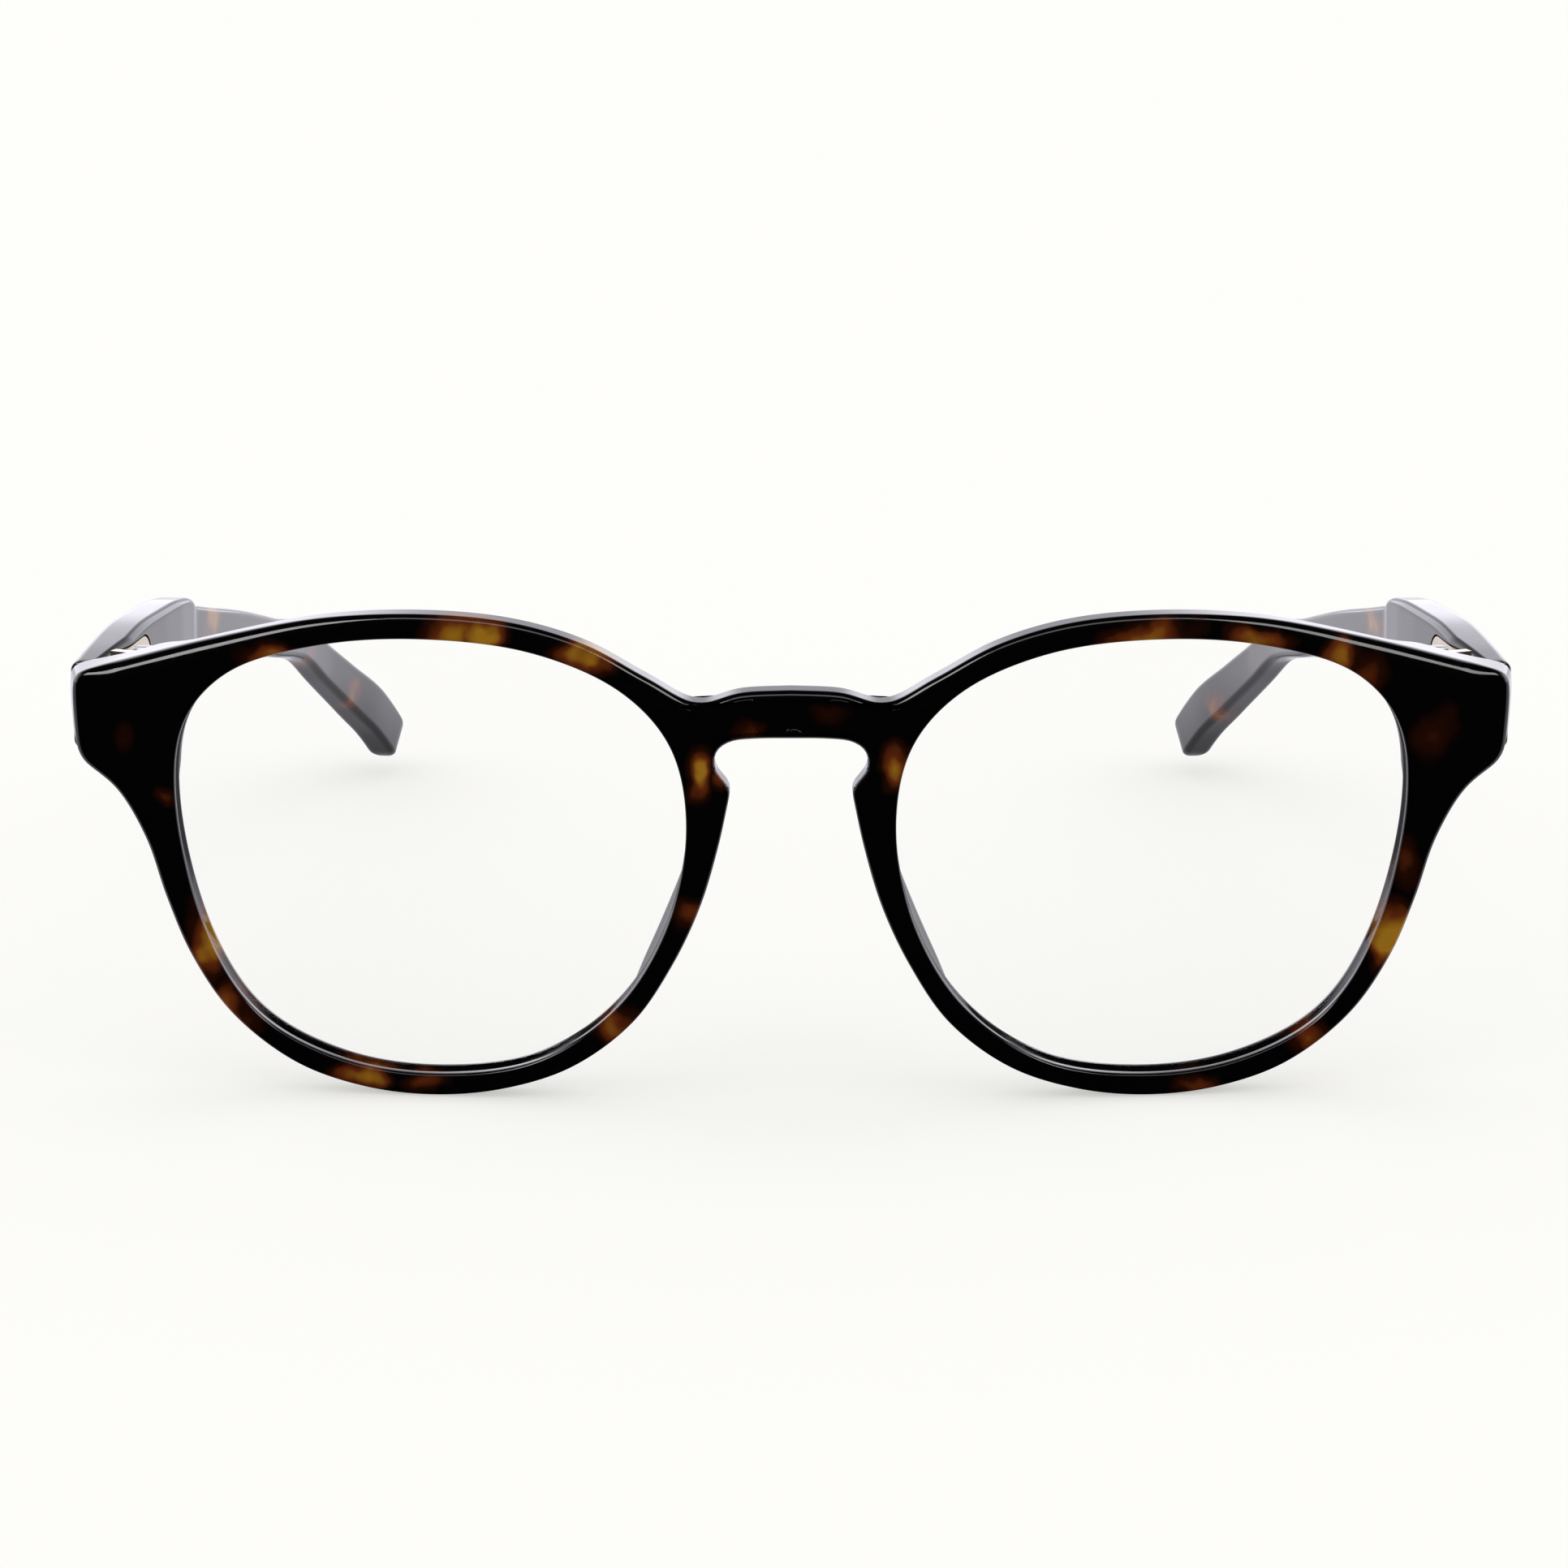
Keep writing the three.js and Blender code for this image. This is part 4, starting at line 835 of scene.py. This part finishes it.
def recess_mesh(side):
    """The cutter for the hinge leaf's recess: a strip with a half-circle end, lofted across the temple from
    the bottom of the recess to past its inner face."""
    half = (LEAF_HEIGHTS[1] - LEAF_HEIGHTS[0]) / 2 + LEAF_CLEARANCE
    turn = np.linspace(-math.pi / 2, math.pi / 2, 33)
    end = LEAF_SPAN[1] + LEAF_CLEARANCE + RECESS_BEYOND - half
    along = np.append(end + half * np.cos(turn), np.full(2, LEAF_SPAN[0] - LEAF_CLEARANCE))
    up = np.append(half * np.sin(turn), (half, -half)) + sum(LEAF_HEIGHTS) / 2
    inward = (BLOCK_THICKNESS - LEAF_THICKNESS - LEAF_CLEARANCE, BLOCK_THICKNESS + 2)
    rings = np.array([np.stack([np.full(len(along), v), along, up], 1) for v in inward])
    flat, faces = capped(on_temple(rings) * [side, 1, 1])
    return placed(flat), outward(flat, faces)


def carve(piece, points, faces):
    """Cuts a closed shape out of a piece, and keeps the edges of the cut sharp."""
    cutter_mesh = bpy.data.meshes.new("cutter")
    cutter_mesh.from_pydata(points.tolist(), [], [list(dict.fromkeys(f)) for f in faces.tolist()])
    cutter = bpy.data.objects.new("cutter", cutter_mesh)
    bpy.context.scene.collection.objects.link(cutter)
    cut = piece.modifiers.new("recess", "BOOLEAN")
    cut.operation, cut.solver, cut.object = "DIFFERENCE", "EXACT", cutter
    carved = bpy.data.meshes.new_from_object(piece.evaluated_get(bpy.context.evaluated_depsgraph_get()))
    piece.modifiers.clear()
    piece.data = carved
    carved.set_sharp_from_angle(angle=math.radians(40))
    bpy.data.objects.remove(cutter)


for side, sign in SIDES:
    temple = add_piece(f"{side}_acetate_temple", *temple_mesh(sign), acetate, f"{side}_arm", "acetate",
                       f"{side}_temple")
    carve(temple, *recess_mesh(sign))

# ---------- the hinges, screws and core wires ----------
# Champagne-plated nickel silver hinges with interleaved knuckles, each turning on a slotted steel screw,
# and the drawn nickel-silver wires inside the temples.

SCRATCH_SIZE = (2.5, 0.2)  # length and width
DULL_PATCH_SIZE = 0.9


def tumbled_metal(name, colour, roughness, scratch_depth):
    """Metal whose roughness drifts from place to place, with faint hair scratches as bump. The scratches
    are drawn longer and wider than real ones, so that they show."""
    material, tree = new_material(name)
    place = add_node(tree, "ShaderNodeTexCoord").outputs["Object"]
    drift = add_node(tree, "ShaderNodeTexNoise", {"Scale": 1 / (DULL_PATCH_SIZE * MM), "Detail": 3.0},
                     {"Vector": place})
    rough = add_node(tree, "ShaderNodeMapRange", {"To Min": roughness * 0.7, "To Max": roughness * 1.4},
                     {"Value": drift.outputs["Fac"]})
    lengthwise, crosswise = 1 / (SCRATCH_SIZE[0] * MM), 1 / (SCRATCH_SIZE[1] * MM)
    hair = add_node(tree, "ShaderNodeMapping", {"Scale": (lengthwise, crosswise, crosswise)},
                    {"Vector": place})
    scratches = add_node(tree, "ShaderNodeTexNoise", {"Scale": 1.0, "Detail": 2.0},
                         {"Vector": hair.outputs[0]})
    bump = add_node(tree, "ShaderNodeBump", {"Strength": scratch_depth, "Distance": 0.02 * MM},
                    {"Height": scratches.outputs["Fac"]})
    shader = add_node(tree, "ShaderNodeBsdfPrincipled", {"Base Color": linear(colour), "Metallic": 1.0},
                      {"Roughness": rough.outputs[0], "Normal": bump.outputs[0]})
    add_node(tree, "ShaderNodeOutputMaterial", {}, {"Surface": shader.outputs[0]})
    return material


# the plating is a warm, pale gold-grey with a satin sheen; the screws are cooler and the wires plain
champagne = tumbled_metal("champagne_plated_nickel_silver", "#cdc0ab", 0.26, 0.25)
steel = tumbled_metal("bright_screw_steel", "#9da0a2", 0.3, 0.3)
nickel_silver = tumbled_metal("drawn_nickel_silver", "#b9b4a9", 0.32, 0.3)
for side, _ in SIDES:
    for node, metal in (("front_hinge", champagne), ("temple_hinge", champagne), ("hinge_screw", steel),
                        ("core_wire", nickel_silver)):
        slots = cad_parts[f"{side}_{node}"].data.materials
        slots.clear()
        slots.append(metal)

# ---------- the plaques ----------
# A small plain plaque of polished plated metal, let into the outer face of each temple near the hinge. Its
# ends are round and its edge is softened.

PLAQUE_LENGTH = 8.0
PLAQUE_HEIGHT = 3.2
PLAQUE_START = 4.0
PLAQUE_Z = 38.6
PLAQUE_PROUD = 0.4
PLAQUE_EDGE = 0.28
PLAQUE_SUNK = 0.3
PLAQUE_SWELL = 0.03


def plaque_mesh(side):
    """Rings of a stadium, two half circles joined by straight sides, from under the temple's face up its
    wall, round a quarter-circle edge and in over a face that swells very slightly."""
    half = PLAQUE_HEIGHT / 2
    run = PLAQUE_LENGTH / 2 - half
    turn = np.linspace(0, math.pi, 21)
    right = np.stack([np.sin(turn), np.cos(turn)], 1)
    direction = np.vstack([right, [(0, -1)] * 2, -right, [(0, 1)] * 2])
    centre = np.zeros_like(direction)
    centre[:, 0] = run * np.concatenate([np.ones(21), (0.5, -0.5), -np.ones(21), (-0.5, 0.5)])
    levels = [(0, -PLAQUE_SUNK), (0, PLAQUE_PROUD - PLAQUE_EDGE - 0.02)]
    levels += [(PLAQUE_EDGE * (1 - math.cos(a)), PLAQUE_PROUD - PLAQUE_EDGE * (1 - math.sin(a)))
               for a in np.linspace(0, math.pi / 2, 6)]
    levels += [(PLAQUE_EDGE + (half - PLAQUE_EDGE) * share, PLAQUE_PROUD + PLAQUE_SWELL * share)
               for share in (0.03, 0.4, 0.7, 0.999)]
    rings = []
    for inset, proud in levels:
        place = centre + direction * (half - inset)
        rings.append(np.stack([np.full(len(place), -proud), PLAQUE_START + PLAQUE_LENGTH / 2 + place[:, 0],
                               PLAQUE_Z + place[:, 1]], 1))
    flat, faces = capped(on_temple(np.array(rings)) * [side, 1, 1])
    return placed(flat), outward(flat, faces)


# the same plating, polished a little brighter, so it catches the light as a small warm glint
plated = tumbled_metal("polished_plated_plaque", "#b3aa97", 0.2, 0.15)
for side, sign in SIDES:
    add_piece(f"{side}_metal_plaque", *plaque_mesh(sign), plated, f"{side}_arm", "plaque",
              f"{side}_plaque")
